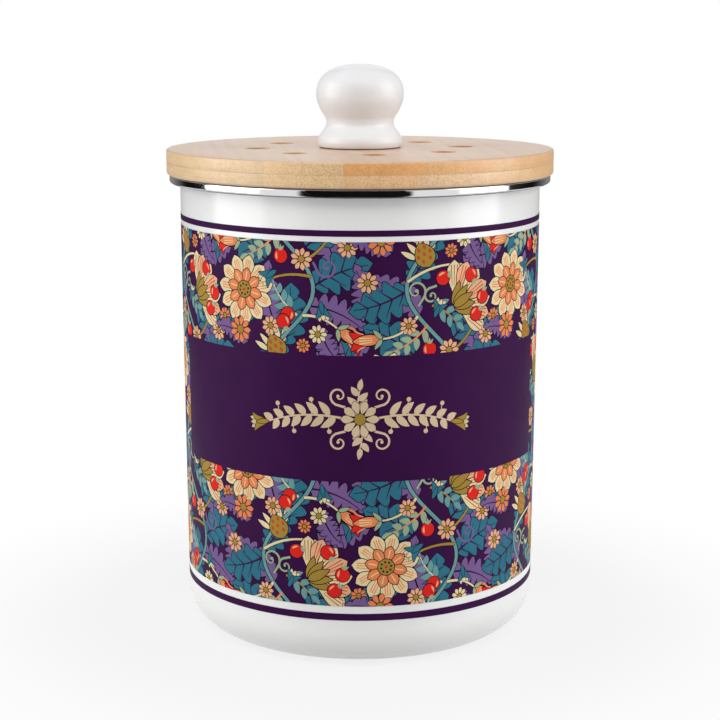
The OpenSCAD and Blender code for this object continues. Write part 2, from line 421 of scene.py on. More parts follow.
def piece(made: bpy.types.Mesh, body: str, slot: str, *nodes: str) -> bpy.types.Object:
    """Makes a mesh a piece of the object.

    Args:
        made: The mesh, with its material.
        body: The body it rides on.
        slot: The record's material slot of its finish; not used.
        nodes: The CAD nodes it stands for.
    Returns:
        The piece.
    """
    shown = bpy.data.objects.new(made.name, made)
    bpy.context.collection.objects.link(shown)
    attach(shown, body)
    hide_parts(*nodes)
    LOG.info("%s: %d faces on %s", made.name, len(made.polygons), body)
    return shown


def unit(angle: float) -> complex:
    """A step of length 1 at an angle in degrees."""
    return complex(math.cos(math.radians(angle)), math.sin(math.radians(angle)))


def arc(centre: complex, radius: float, start: float, end: float, steps: int = 6) -> Outline:
    """Points along an arc from one angle in degrees to another."""
    return [centre + radius * unit(start + (end - start) * i / steps) for i in range(steps + 1)]


def circle(centre: complex, radius: float, steps: int = 48) -> Outline:
    """Points round a circle."""
    return arc(centre, radius, 0, 360, steps)[:-1]


def oblong(low: complex, high: complex) -> Outline:
    """The corners of a rectangle, anticlockwise from its lower left one."""
    return [low, complex(high.real, low.imag), high, complex(low.real, high.imag)]


def shares(steps: int) -> list[float]:
    """From 0 to 1 in even steps."""
    return [i / steps for i in range(steps + 1)]


def bow(start: complex, pull: complex, end: complex, steps: int) -> Outline:
    """Points along the curve that leaves its start and reaches its end in line with the pull."""
    return [start * (1 - t) ** 2 + 2 * pull * t * (1 - t) + end * t * t for t in shares(steps)]


def enclosed(outline: Outline) -> float:
    """Twice the area in an outline, negative if it runs clockwise."""
    return sum((a.conjugate() * b).imag for a, b in zip(outline, outline[1:] + outline[:1]))


def rounded(corners: Sequence[complex], radius: float, steps: int = 4) -> Outline:
    """A closed outline with its corners rounded off, apart from those on the axis.

    Args:
        corners: The corners in order.
        radius: How far from each corner the round begins, at most.
        steps: How many steps each round has.
    Returns:
        The outline.
    """
    result: Outline = []
    count = len(corners)
    for i, corner in enumerate(corners):
        back, on = corners[i - 1] - corner, corners[(i + 1) % count] - corner
        if abs(corner.real) < 1e-9:
            result.append(corner)
            continue
        cut = min(radius, 0.45 * abs(back), 0.45 * abs(on))
        start, end = corner + cut * back / abs(back), corner + cut * on / abs(on)
        result += bow(start, corner, end, steps)
    return result


def swollen(outline: Outline, by: float) -> Outline:
    """The same outline moved outwards, or inwards for a negative amount."""
    turn = -1j if enclosed(outline) > 0 else 1j
    count = len(outline)
    result = []
    for i, point in enumerate(outline):
        before, after = point - outline[i - 1], outline[(i + 1) % count] - point
        way = turn * (before / (abs(before) or 1) + after / (abs(after) or 1))
        result.append(point + by * way * min(2 / (abs(way) ** 2 or 1), 0.9))
    return result


class Lathe:
    """Turned parts: a profile carried round the upright axis by a node tree."""

    def __init__(self) -> None:
        """Builds the tree, whose profile gives radius as X, height as Z and how deeply it is cut as Y."""
        tree = Growth("turned_part", Rows=int, Around=int, Pitch=float, Thread=float, Ribs=float, Rib=float)
        columns = tree.size("Around") + 1
        grid = tree.node("GeometryNodeMeshGrid", {}, {"Vertices X": tree.size("Rows"), "Vertices Y": columns})
        index = tree.number("GeometryNodeInputIndex")
        row = (index / columns + 0.0001).floor()
        place = tree.node("GeometryNodeInputPosition").outputs[0]
        sample = tree.node("GeometryNodeSampleIndex", {"data_type": "FLOAT_VECTOR", "domain": "POINT"},
                           {"Geometry": tree.given["Geometry"], "Value": place, "Index": row})
        radius, cut, height = tree.split(sample.outputs[0])
        turn = (index - row * columns) * TAU / tree.size("Around")
        thread = abs((height / tree.size("Pitch") - turn / TAU) % 1.0 - 0.5) * 2 * tree.size("Thread")
        ribs = ((turn * tree.size("Ribs")).wave() * 0.5 + 0.5) * tree.size("Rib")
        radius = radius - (thread + ribs) * (cut / MM)
        bent = tree.moved(grid.outputs[0], radius * turn.wave(cosine=True), radius * turn.wave(), height)
        merged = tree.node("GeometryNodeMergeByDistance", {}, {"Geometry": bent, "Distance": 1e-6})
        tree.close(merged.outputs[0])
        self.tree = tree

    def turn(self, name: str, profile: Outline, finish: bpy.types.Material, around: int = 160,
             cut: Sequence[float] | None = None, **extra: float) -> bpy.types.Mesh:
        """Turns one part.

        Args:
            name: The part's name.
            profile: Radius and height in millimetres, in order round a closed profile.
            finish: Its material.
            around: How many facets it has round the axis.
            cut: How deeply each point takes the thread or ribs, from 0 to 1.
            extra: Pitch, Thread, Ribs and Rib, in metres apart from the number of ribs.
        Returns:
            The mesh.
        """
        closed = profile + profile[:1]
        depth = list(cut or [0.0] * len(profile))
        depth += depth[:1]
        seed = plain_mesh(name, [(p.real, d, p.imag) for p, d in zip(closed, depth)],
                          edges=[(i, i + 1) for i in range(len(closed) - 1)])
        sizes = {"Rows": len(closed), "Around": around, "Pitch": 1.0, "Thread": 0.0, "Ribs": 1.0, "Rib": 0.0}
        return tidied(self.tree.grow(name, seed, finish, **(sizes | extra)))


@dataclass
class Wall:
    """The side wall of a plate, a hole or a pit: an outline and its offset at each height."""

    outline: Outline
    steps: Steps

    @classmethod
    def softened(cls, outline: Outline, low: float, high: float, low_r: float, high_r: float,
                 hole: bool = False, count: int = 4) -> "Wall":
        """A wall with rounded lower and upper edges.

        Args:
            outline: Its outline.
            low: Its lower height.
            high: Its upper height.
            low_r: The radius of its lower edge.
            high_r: The radius of its upper edge.
            hole: Whether it is the wall of a hole, whose edges open outwards.
            count: The steps in each rounded edge.
        Returns:
            The wall.
        """
        way = 1 if hole else -1
        quarter = [share * math.pi / 2 for share in shares(count)]
        steps = [(way * low_r * (1 - math.sin(a)), low + low_r * (1 - math.cos(a))) for a in quarter]
        steps += [(way * high_r * (1 - math.cos(a)), high - high_r * (1 - math.sin(a))) for a in quarter]
        return cls(outline, steps)


@dataclass
class Plate:
    """A flat part with softened edges, holes through it and pits in its underside."""

    outer: Wall
    holes: list[Wall] = field(default_factory=list)
    pits: list[Wall] = field(default_factory=list)
    points: list[tuple[float, float, float]] = field(default_factory=list)
    faces: list[list[int]] = field(default_factory=list)

    def _wall(self, wall: Wall) -> tuple[list[int], list[int]]:
        """Builds one side wall.

        Args:
            wall: The wall.
        Returns:
            The point numbers of its lowest and its highest ring.
        """
        rings = []
        for offset, height in wall.steps:
            start = len(self.points)
            self.points += [(p.real, p.imag, height) for p in swollen(wall.outline, offset)]
            rings.append(list(range(start, len(self.points))))
        for low, high in zip(rings, rings[1:]):
            for i in range(len(low)):
                j = (i + 1) % len(low)
                self.faces.append([low[i], low[j], high[j], high[i]])
        return rings[0], rings[-1]

    def _cap(self, rings: list[list[int]]) -> None:
        """Fills the area inside the first ring and outside the others."""
        numbers = [n for ring in rings for n in ring]
        flat = [Vector(self.points[n][:2]) for n in numbers]
        loops, start = [], 0
        for ring in rings:
            loops.append(list(range(start, start + len(ring))))
            start += len(ring)
        _, _, made, source, _, owners = delaunay_2d_cdt(flat, [], loops, 0, 1e-7, True)
        for face, inside in zip(made, owners):
            if inside == [0]:
                self.faces.append([numbers[source[n][0]] for n in face])

    def mesh(self, name: str, finish: bpy.types.Material) -> bpy.types.Mesh:
        """Builds the plate.

        Args:
            name: Its name.
            finish: Its material.
        Returns:
            The mesh.
        """
        low, high = self._wall(self.outer)
        through = [self._wall(hole) for hole in self.holes]
        blind = [self._wall(pit) for pit in self.pits]
        self._cap([low] + [rings[0] for rings in through + blind])
        self._cap([high] + [rings[1] for rings in through])
        for _, top in blind:
            self._cap([top])
        made = plain_mesh(name, self.points, self.faces)
        made.materials.append(finish)
        return tidied(made)


# ---------------------------------------------------------------- drawing the transfer


class Ink(Enum):
    """The colours of the fired transfer."""

    GROUND = "#391143"
    SHADOW = "#1d0c26"
    TEAL = "#33748a"
    PALE_TEAL = "#6fa0a0"
    LAVENDER = "#7d6096"
    RED = "#e42a22"
    RUST = "#c0502c"
    ORANGE = "#ee8a55"
    PEACH = "#efb48a"
    CREAM = "#ecd9aa"
    BUFF = "#dcc2a0"
    OCHRE = "#a8893a"
    SAGE = "#9fb492"


INKS = list(Ink)


def rib(base: complex, tip: complex, bend: float, steps: int) -> Outline:
    """Points along a line that bows sideways by bend times its length."""
    return bow(base, (base + tip) / 2 + 1j * bend * (tip - base), tip, steps)


def heading(path: Outline, i: int) -> float:
    """The direction in degrees in which a path comes to one of its points."""
    way = path[i] - path[i - 1]
    return math.degrees(math.atan2(way.imag, way.real))


def ribbon(path: Outline, widths: Sequence[float]) -> Outline:
    """The outline of a line with a width at each of its points."""
    left, right = [], []
    last = len(path) - 1
    for i, point in enumerate(path):
        way = path[min(i + 1, last)] - path[max(i - 1, 0)]
        side = 0.5j * widths[i] * way / (abs(way) or 1)
        left.append(point + side)
        right.append(point - side)
    return left + right[::-1]


def stroke(path: Outline, start: float, end: float) -> Outline:
    """The outline of a line whose width changes evenly."""
    last = len(path) - 1
    return ribbon(path, [start + (end - start) * i / last for i in range(last + 1)])


def blade(base: complex, tip: complex, width: float, bend: float = 0.0, fullness: float = 0.8,
          steps: int = 9, lobes: int = 0, depth: float = 0.45) -> Outline:
    """The outline of a leaf or petal.

    Args:
        base: Where it starts.
        tip: Where it ends.
        width: Its full width.
        bend: How far it bows sideways, as a share of its length.
        fullness: Above 1 the widest place moves to the tip.
        steps: Points along each side.
        lobes: Scallops on each side.
        depth: How deep those are.
    Returns:
        The outline.
    """
    steps = max(steps, lobes * 5)
    widths = []
    for t in shares(steps):
        swell = math.sin(math.pi * t**fullness) ** 0.75 if 0 < t < 1 else 0.0
        notch = 1 - depth * (1 - abs(math.sin(math.pi * lobes * t))) ** 1.2 if lobes else 1.0
        widths.append(max(width * swell * notch, 0.12))
    return ribbon(rib(base, tip, bend, steps), widths)


@dataclass
class Drawing:
    """Flat areas of ink from back to front, in millimetres on the unrolled wall."""

    patches: list[tuple[Outline, Ink]] = field(default_factory=list)

    def fill(self, outline: Outline, ink: Ink) -> "Drawing":
        """Adds one area."""
        self.patches.append((outline, ink))
        return self

    def edged(self, outline: Outline, ink: Ink, line: float = 0.35) -> "Drawing":
        """Adds an area with a dark line round it."""
        return self.fill(swollen(outline, line), Ink.SHADOW).fill(outline, ink)

    def put(self, other: "Drawing", at: complex = 0j, angle: float = 0.0, flipped: bool = False) -> "Drawing":
        """Adds another drawing.

        Args:
            other: What to add.
            at: Where its origin goes.
            angle: How far it is turned, in degrees.
            flipped: Whether it is mirrored first.
        Returns:
            This drawing.
        """
        turn = unit(angle)
        for outline, ink in other.patches:
            self.fill([at + turn * (p.conjugate() if flipped else p) for p in outline], ink)
        return self

    def ring(self, other: "Drawing", count: int, start: float = 0.0) -> "Drawing":
        """Adds another drawing many times round the origin."""
        for i in range(count):
            self.put(other, 0j, start + 360 * i / count)
        return self


# Every motif grows along +X from the origin.


def lobed_leaf(length: float, width: float) -> Drawing:
    """A broad teal leaf with five scallops a side and dark veins."""
    lobes, bend = 5, 0.12
    leaf = Drawing().edged(blade(0, length, width, bend, lobes=lobes, depth=0.5), Ink.TEAL)
    leaf.fill(stroke(rib(0, length * 0.93, bend, 8), 1.0, 0.3), Ink.GROUND)
    midrib = rib(0, length, bend, 20)
    for i in range(1, lobes):
        t = (i + 0.1) / lobes
        root = midrib[int(20 * (t - 0.1))]
        reach = width * 0.36 * math.sin(math.pi * t) ** 0.6
        for side in (1, -1):
            leaf.fill(stroke([root, root + complex(reach * 0.8, side * reach)], 0.7, 0.2), Ink.GROUND)
    return leaf


def feather_leaf(length: float, width: float) -> Drawing:
    """A long lavender leaf with seven deep scallops a side."""
    bend = -0.18
    leaf = Drawing().edged(blade(0, length, width, bend, 0.7, lobes=7, depth=0.62), Ink.LAVENDER)
    return leaf.fill(stroke(rib(0, length * 0.9, bend, 8), 0.8, 0.25), Ink.SHADOW)


def sprig(leaf: Ink, stem: Ink, length: float, pairs: int = 4) -> Drawing:
    """A twig with small leaves on both sides and one at its end."""
    twig = Drawing().fill(stroke(rib(0, length, 0.15, 8), 1.0, 0.4), stem)
    path = rib(0, length, 0.15, pairs * 2)
    for i in range(1, pairs * 2):
        side = 1 if i % 2 else -1
        small = Drawing().fill(blade(0, 6.5 - 0.35 * i, 2.7, 0.1, steps=6), leaf)
        twig.put(small, path[i], heading(path, i) + side * 48, side < 0)
    last = Drawing().fill(blade(0, 5.0, 2.4, 0.1, steps=6), leaf)
    return twig.put(last, path[-1], heading(path, pairs * 2 - 1))


def daisy(radius: float, petal: Ink, count: int = 9) -> Drawing:
    """A small open flower."""
    one = Drawing().edged(blade(radius * 0.25, radius, radius * 0.42, fullness=1.5, steps=5), petal, 0.2)
    return Drawing().ring(one, count).edged(circle(0, radius * 0.3, 10), Ink.OCHRE, 0.25)


def dahlia(radius: float = 14.5) -> Drawing:
    """A large double flower."""
    outer = Drawing().edged(blade(radius * 0.3, radius, radius * 0.42, fullness=1.35, steps=8), Ink.CREAM)
    for a, b in ((0.42, 0.0), (0.5, 0.075), (0.5, -0.075)):
        vein = [complex(radius * a, radius * b), complex(radius * 0.86, radius * b * 0.9)]
        outer.fill(stroke(vein, 0.3, 0.5), Ink.ORANGE)
    small = blade(radius * 0.12, radius * 0.62, radius * 0.3, fullness=1.3, steps=7)
    inner = Drawing().edged(small, Ink.ORANGE)
    inner.fill(stroke([radius * 0.2 + 0j, radius * 0.52 + 0j], 0.3, 0.5), Ink.CREAM)
    flower = Drawing().ring(outer, 11).ring(inner, 8, 20).edged(circle(0, radius * 0.24, 14), Ink.OCHRE)
    flower.ring(Drawing().fill(circle(radius * 0.15, radius * 0.035, 6), Ink.SHADOW), 8)
    return flower.fill(circle(0, radius * 0.05, 6), Ink.RED)


def carnation(length: float = 19.0) -> Drawing:
    """A fanned flower in a scaly cup."""
    flower = Drawing()
    for i, angle in enumerate((-62, 62, -42, 42, -21, 21, 0)):
        ink = (Ink.CREAM, Ink.PEACH)[(i // 2) % 2]
        petal = Drawing().edged(blade(length * 0.2, length, length * 0.36, fullness=1.7), ink)
        for y in (-0.9, 0.0, 0.9):
            vein = [complex(length * 0.45, y), complex(length * 0.9, y * 1.7)]
            petal.fill(stroke(vein, 0.25, 0.45), Ink.RUST)
        flower.put(petal, 0j, angle)
    for angle in (-48, 48, -24, 24, 0):
        flower.put(Drawing().edged(blade(0, length * 0.55, length * 0.2, steps=7), Ink.OCHRE), 0j, angle)
    return flower


def tulip(length: float = 13.0) -> Drawing:
    """A closed cup of three petals."""
    flower = Drawing()
    for side in (1, -1):
        tip = complex(length, side * length * 0.3)
        flower.edged(blade(0, tip, length * 0.36, side * -0.28, 0.9), Ink.RED)
        start, end = complex(length * 0.3, side * length * 0.13), complex(length * 0.8, side * length * 0.3)
        flower.fill(stroke(rib(start, end, side * -0.1, 4), 0.25, 0.5), Ink.PEACH)
    flower.edged(blade(0, length * 0.92, length * 0.34, fullness=0.9), Ink.ORANGE)
    for y in (-0.8, 0.0, 0.8):
        flower.fill(stroke([complex(length * 0.3, y), complex(length * 0.72, y * 1.5)], 0.25, 0.5), Ink.CREAM)
    for angle in (-50, 50):
        flower.put(Drawing().edged(blade(0, length * 0.4, length * 0.14, steps=5), Ink.SAGE, 0.25), 0j, angle)
    return flower


def bell(length: float = 9.0, petal: Ink = Ink.CREAM, cup: Ink = Ink.TEAL) -> Drawing:
    """A small bell flower."""
    flower = Drawing()
    for y in (-0.24, 0.24, 0.0):
        outline = blade(length * 0.3, complex(length, y * length), length * 0.26, fullness=1.3, steps=6)
        flower.edged(outline, petal, 0.22)
    for side in (1, -1):
        tip = complex(length * 0.85, side * length * 0.42)
        flower.edged(blade(0, tip, length * 0.3, side * -0.3, steps=7), cup, 0.25)
    return flower.edged(blade(0, length * 0.7, length * 0.22, steps=6), cup, 0.25)


def hip(radius: float = 3.0) -> Drawing:
    """A round red berry with its crown."""
    berry = Drawing().edged(circle(radius, radius, 14), Ink.RED)
    near, far = radius * complex(0.5, 0.5), radius * complex(1.5, 0.55)
    berry.fill(blade(near, far, radius * 0.3, 0.2, steps=5), Ink.PEACH)
    sepal = Drawing().fill(blade(0, radius * 0.85, radius * 0.32, steps=5), Ink.SAGE)
    for angle in (-40, 0, 40):
        berry.put(sepal, radius * 1.75 + 0j, angle)
    return berry


def seed_head(length: float = 14.0) -> Drawing:
    """A scaly seed head with a few pale petals."""
    head = Drawing()
    for angle in (-35, -18, 0, 18, 35):
        petal = Drawing().edged(blade(length * 0.5, length, length * 0.16, steps=6), Ink.CREAM, 0.2)
        head.put(petal, 0j, angle)
    head.edged(blade(0, length * 0.78, length * 0.62), Ink.OCHRE)
    for row, places in enumerate(((-0.12, 0.12), (-0.2, 0.0, 0.2), (-0.1, 0.1))):
        x = length * (0.16 + 0.18 * row)
        for y in places:
            start = complex(x, y * length)
            head.fill(blade(start, start + length * 0.15, length * 0.1, steps=5), Ink.RUST)
    return head


def scroll(ink: Ink, size: float) -> Drawing:
    """A stem that curls up on itself."""
    path = [0j]
    for t in shares(18):
        radius = size * 0.5 * (1 - t) ** 0.8 + 0.3
        path.append(complex(size * 0.6, size * 0.5) + radius * unit(-90 + 414 * t))
    return Drawing().fill(stroke(path, 1.0, 0.5), ink).fill(circle(path[-1], size * 0.1, 8), ink)


def thinned(outline: Outline, slack: float) -> Outline:
    """Drops the points of an outline that lie within a slack of the line through their neighbours.

    Args:
        outline: A closed outline.
        slack: How far a dropped point may lie off.
    Returns:
        The thinned outline.
    """
    count = len(outline)
    if count < 8:
        return outline
    far = max(range(count), key=lambda i: abs(outline[i] - outline[0]))
    kept, open_spans = {0, far}, [(0, far), (far, count)]
    while open_spans:
        first, last = open_spans.pop()
        start, way = outline[first], outline[last % count] - outline[first]
        offs = [(abs(((outline[k] - start).conjugate() * way).imag) / (abs(way) or 1), k)
                for k in range(first + 1, last)]
        if offs and max(offs)[0] > slack:
            kept.add(max(offs)[1])
            open_spans += [(first, max(offs)[1]), (max(offs)[1], last)]
    return [outline[k] for k in sorted(kept)]


def flat_point(point: complex) -> Vector:
    """A point of a drawing as a vector."""
    return Vector((point.real, point.imag))


@dataclass
class Sheet:
    """A flat sheet of transfer, cut into triangles of one ink each."""

    points: list[Vector]
    triangles: list[tuple[int, ...]]
    inks: list[int]

    @classmethod
    def cut(cls, drawing: Drawing, low: complex, high: complex, step: float, slack: float = 0.05) -> "Sheet":
        """Cuts the rectangle between two corners out of a drawing.

        Args:
            drawing: What is printed, which may run over the rectangle's border.
            low: The rectangle's lower left corner.
            high: Its upper right corner.
            step: The largest size of a triangle, so that the sheet can be bent.
            slack: How far an outline may be thinned.
        Returns:
            The sheet.
        """
        size = high - low
        across, up = round(size.real / step), 2 * round(size.imag / step / 2)

        def node(i: int, j: int) -> complex:
            """A point of the grid over the rectangle."""
            return low + complex(size.real * i / across, size.imag * j / up)
        border = [node(i, 0) for i in range(across)] + [node(across, j) for j in range(up)]
        border += [node(across - i, up) for i in range(across)] + [node(0, up - j) for j in range(up)]
        points = [flat_point(p) for p in border]
        loops, inks = [list(range(len(points)))], [Ink.GROUND]
        for outline, ink in drawing.patches:
            xs, ys = [p.real for p in outline], [p.imag for p in outline]
            if max(xs) <= low.real or min(xs) >= high.real or max(ys) <= low.imag or min(ys) >= high.imag:
                continue
            start, way = len(points), 1 if enclosed(outline) > 0 else -1
            points += [flat_point(p) for p in thinned(outline, slack)[::way]]
            loops.append(list(range(start, len(points))))
            inks.append(ink)
        middle = [flat_point(node(i, up // 2)) for i in range(across + 1)]
        spine = [(len(points) + i, len(points) + i + 1) for i in range(across)]
        first = delaunay_2d_cdt(points + middle, spine, loops, 0, 1e-5, True)
        flat, faces = first[0], [(f, max(own)) for f, own in zip(first[2], first[5]) if 0 in own]
        sides: dict[tuple[int, int], list[Ink]] = {}
        for face, top in faces:
            for a, b in zip(face, face[1:] + face[:1]):
                sides.setdefault((min(a, b), max(a, b)), []).append(inks[top])
        centre = (low.imag + high.imag) / 2
        lines = [edge for edge, both in sides.items() if len(both) == 1 or both[0] is not both[1]
                 or all(abs(flat[n].y - centre) < 1e-4 for n in edge)]
        used = sorted({n for edge in lines for n in edge})
        number = {n: i for i, n in enumerate(used)}
        inner = [node(i, j) for i in range(1, across) for j in range(1, up) if j != up // 2]
        second = delaunay_2d_cdt([flat[n] for n in used] + [flat_point(p) for p in inner],
                                 [(number[a], number[b]) for a, b in lines], [], 0, 1e-5, False)
        tree = BVHTree.FromPolygons([v.to_3d() for v in flat], [face for face, _ in faces])
        result = []
        for face in second[2]:
            spot = sum((second[0][n] for n in face), Vector((0, 0))) / 3
            result.append(INKS.index(inks[faces[tree.find_nearest(spot.to_3d())[2]][1]]))
        return cls(list(second[0]), [tuple(f) for f in second[2]], result)

    def closed(self, name: str, thickness: float, step: float = 6.0) -> bpy.types.Mesh:
        """Makes the sheet a thin closed slab that knows the ink of each face.

        Args:
            name: The mesh's name.
            thickness: How thick it is.
            step: The size of the triangles on its back.
        Returns:
            The slab, flat, with its own map of the printed side, the back and the four narrow sides.
        """
        uses: dict[tuple[int, int], int] = {}
        for a, b, c in self.triangles:
            for edge in ((a, b), (b, c), (c, a)):
                uses[edge] = uses.get(edge, 0) + 1
        border = [(a, b) for a, b in uses if (b, a) not in uses]
        order = sorted({n for edge in border for n in edge})
        number = {n: i for i, n in enumerate(order)}
        low = Vector((min(p.x for p in self.points), min(p.y for p in self.points)))
        size = Vector((max(p.x for p in self.points), max(p.y for p in self.points))) - low
        across, up = round(size.x / step), round(size.y / step)
        inner = [low + Vector((size.x * i / across, size.y * j / up))
                 for i in range(1, across) for j in range(1, up)]
        edges = [(number[a], number[b]) for a, b in border]
        back = delaunay_2d_cdt([self.points[n] for n in order] + inner, edges, [], 0, 1e-5, True)
        top = len(self.points)
        places = {i: n for n, i in enumerate(source[0] if source else -1 for source in back[3])}
        points = [(p.x, p.y, thickness) for p in self.points] + [(p.x, p.y, 0.0) for p in back[0]]
        under = [[top + n for n in reversed(face)] for face in back[2]]
        sides = [[b, a, top + places[number[a]], top + places[number[b]]] for a, b in border]
        made = plain_mesh(name, points, [*self.triangles, *under, *sides])
        inks = self.inks + [-1] * (len(under) + len(sides))
        made.attributes.new("ink_number", "INT", "FACE").data.foreach_set("value", inks)
        colour = made.attributes.new("ink", "FLOAT_COLOR", "CORNER").data
        spot = made.uv_layers.new(name="OFBake").data
        run, row = 0.0, 0
        for face, ink in zip(made.polygons, inks):
            shade = linear(INKS[max(ink, 0)].value)
            corners = [Vector(points[n][:2]) for n in face.vertices]
            length = max((a - b).length for a, b in zip(corners, corners[1:] + corners[:1])) / size.x
            if len(face.vertices) == 4 and run + length > 1:
                run, row = 0.0, row + 1
            for corner, n in zip(face.loop_indices, face.vertices):
                colour[corner].color = shade
                u, v = (points[n][0] - low.x) / size.x, (points[n][1] - low.y) / size.y
                if ink >= 0:
                    spot[corner].uv = (u, 0.06 + 0.94 * v)
                elif len(face.vertices) == 3:
                    spot[corner].uv = (u, 0.03 * v)
                else:
                    far = face.vertices[:].index(n) in (1, 2)
                    spot[corner].uv = (run + length * far, 0.034 + 0.004 * row + 0.003 * (n < top))
            if len(face.vertices) == 4:
                run += length
        return made


# ---------------------------------------------------------------- finishes


@dataclass(frozen=True)
class Enamel:
    """White vitreous enamel fired on steel, worn where the caddy stands."""

    colour: Colour = (0.89, 0.89, 0.882)

    def material(self) -> bpy.types.Material:
        """Builds the finish."""
        shader = Shader("white_enamel", Coat_Weight=0.35, Coat_Roughness=0.14)
        _, _, height = shader.split(shader.place())
        shade = shader.mix(shader.noise(14, 3).between(0.3, 0.8) * 0.5, self.colour, (0.835, 0.838, 0.84))
        pins = shader.cells((240, 240, 240)).between(0.05, 0.03) * shader.noise(30).between(0.6, 0.66)
        shade = shader.mix(pins * 0.6, shade, (0.3, 0.27, 0.24))
        worn = height.between(0.00012, 0.00002) * shader.noise((900, 900, 1), 4, 0.6).between(0.5, 0.66)
        shader.feed("Base Color", shader.mix(worn * 0.5, shade, (0.36, 0.35, 0.34)))
        shader.feed("Roughness", shader.noise(60, 2) * 0.08 + worn * 0.3 + 0.2)
        shader.relief(shader.noise(330, 2) + shader.noise(45, 1) * 2, 0.00005)
        return shader.material


@dataclass(frozen=True)
class PolishedSteel:
    """Polished stainless steel with faint lines round the rim, and painted shade along its lowest and highest
    edges.
    """

    colour: Colour = (0.72, 0.72, 0.73)

    def material(self) -> bpy.types.Material:
        """Builds the finish."""
        shader = Shader("polished_steel", Metallic=1.0)
        lines = shader.noise((70, 70, 5200), 2)
        smear = shader.noise(60, 4).between(0.42, 0.75)
        _, _, height = shader.split(shader.place())
        # painted shade: the lowest and highest fraction of a millimetre of the trim are mixed almost to
        # black, standing in for the shadow gaps under its rolled edge and under the wooden lid
        edge = (height.between(0.19985, 0.1995) + height.between(0.2024, 0.2028)).clamped()
        bright = shader.mix(smear * 0.3, self.colour, (0.62, 0.62, 0.63))
        shader.feed("Base Color", shader.mix(edge * 0.85, bright, (0.05, 0.05, 0.055)))
        shader.feed("Roughness", lines * 0.05 + smear * 0.05 + 0.05)
        shader.relief(lines, 0.00001)
        return shader.material


@dataclass(frozen=True)
class Transfer:
    """Fired inks, each face in the colour that it carries."""

    def material(self) -> bpy.types.Material:
        """Builds the finish."""
        shader = Shader("fired_transfer", Specular_IOR_Level=0.05)
        ink = shader.node("ShaderNodeAttribute", {"attribute_name": "ink"}).outputs["Color"]
        cloud = shader.mix(shader.noise(70, 3).between(0.3, 0.7), (0.9, 0.9, 0.9), (1.0, 1.0, 1.0))
        grain = shader.mix(shader.noise(2600, 2).between(0.3, 0.7), (0.93, 0.93, 0.93), (1.0, 1.0, 1.0))
        shader.feed("Base Color", shader.mix(1.0, shader.mix(1.0, ink, cloud, "MULTIPLY"), grain, "MULTIPLY"))
        shader.feed("Roughness", shader.noise(90, 3) * 0.16 + 0.42)
        shader.relief(shader.noise(1500, 2), 0.00002)
        return shader.material


@dataclass(frozen=True)
class Bamboo:
    """Oiled laminated bamboo: pressed strips along Y, seen on end at the front of the board.

    The strips are given as the place across the board where each starts, in millimetres, and its colour.
    """

    name: str
    strips: tuple[tuple[float, str], ...]
    face: str = "#ceb39d"
    pitch: float = 30.7
    shift: float = 17.4
    joint: float = 208.3
    turn: float = math.radians(-7.3)

    def material(self) -> bpy.types.Material:
        """Builds the finish."""
        shader = Shader(self.name, Specular_IOR_Level=0.45, Coat_Weight=0.3, Coat_Roughness=0.28)
        across, _, height = shader.split(shader.place(turn=self.turn))
        out_x, out_y, out_z = shader.split(shader.node("ShaderNodeNewGeometry").outputs["Normal"])
        up = abs(out_z)
        end = abs(out_x * math.sin(self.turn) + out_y * math.cos(self.turn)).between(0.8, 0.95)
        wobble = (shader.noise((30, 9, 30), 2, turn=self.turn) - 0.5) * 0.0006
        stops = [((start + 100) / 200, linear(code)) for start, code in self.strips]
        ramp = shader.node("ShaderNodeValToRGB", {"stops": stops}, {"Fac": (across + wobble) * 5 + 0.5})
        ramp.color_ramp.interpolation = "CONSTANT"
        fibres = shader.noise((1500, 24, 1500), 3, turn=self.turn)
        broad = shader.noise((260, 9, 260), 2, turn=self.turn)
        tone = shader.mix(broad.between(0.3, 0.7), (0.97, 0.95, 0.93), (1.04, 1.04, 1.03))
        wood = shader.mix(up * 0.88, ramp.outputs[0], linear(self.face))
        wood = shader.mix(1.0, wood, tone, "MULTIPLY")
        wood = shader.mix(fibres.between(0.42, 0.74) * (0.3 - up * 0.2), wood, (0.5, 0.27, 0.11))
        bundles = shader.cells((1500, 11, 1500), self.turn).between(0.5, 0.24)
        patches = shader.noise((90, 6, 90), 2, turn=self.turn).between(0.35, 0.6)
        speckle = bundles * (patches * 0.2 + 0.5) * (end * 0.9 + 0.06) * (1 - up * 0.94)
        wood = shader.mix(speckle, wood, (0.58, 0.25, 0.07))
        streaks = shader.noise((46, 46, 1500), 3).between(0.5, 0.78) * (1 - end) * (1 - up)
        wood = shader.mix(streaks * 0.42, wood, (0.6, 0.34, 0.14))
        strip = (across + wobble + self.shift * MM + 0.2) / (self.pitch * MM)
        seam = abs(strip % 1.0 - 0.5).between(0.488, 0.5)
        wood = shader.mix(seam * 0.14, wood, (0.28, 0.14, 0.06))
        crack = shader.noise((26, 26, 26), 2).between(0.45, 0.62) * 0.4 + 0.1
        glue = abs(height - self.joint * MM).between(0.00022, 0.00006) * (1 - up) * crack
        wood = shader.mix(glue, wood, (0.3, 0.15, 0.06))
        bored = shader.radius().between(0.0665, 0.066) * up.between(0.75, 0.3)
        wood = shader.mix(bored * 0.6, wood, (0.56, 0.24, 0.07))
        shader.feed("Base Color", wood)
        shader.feed("Roughness", fibres * 0.16 + 0.34)
        shader.relief(fibres * 0.6 + bundles * end * 0.15, 0.00007)
        return shader.material


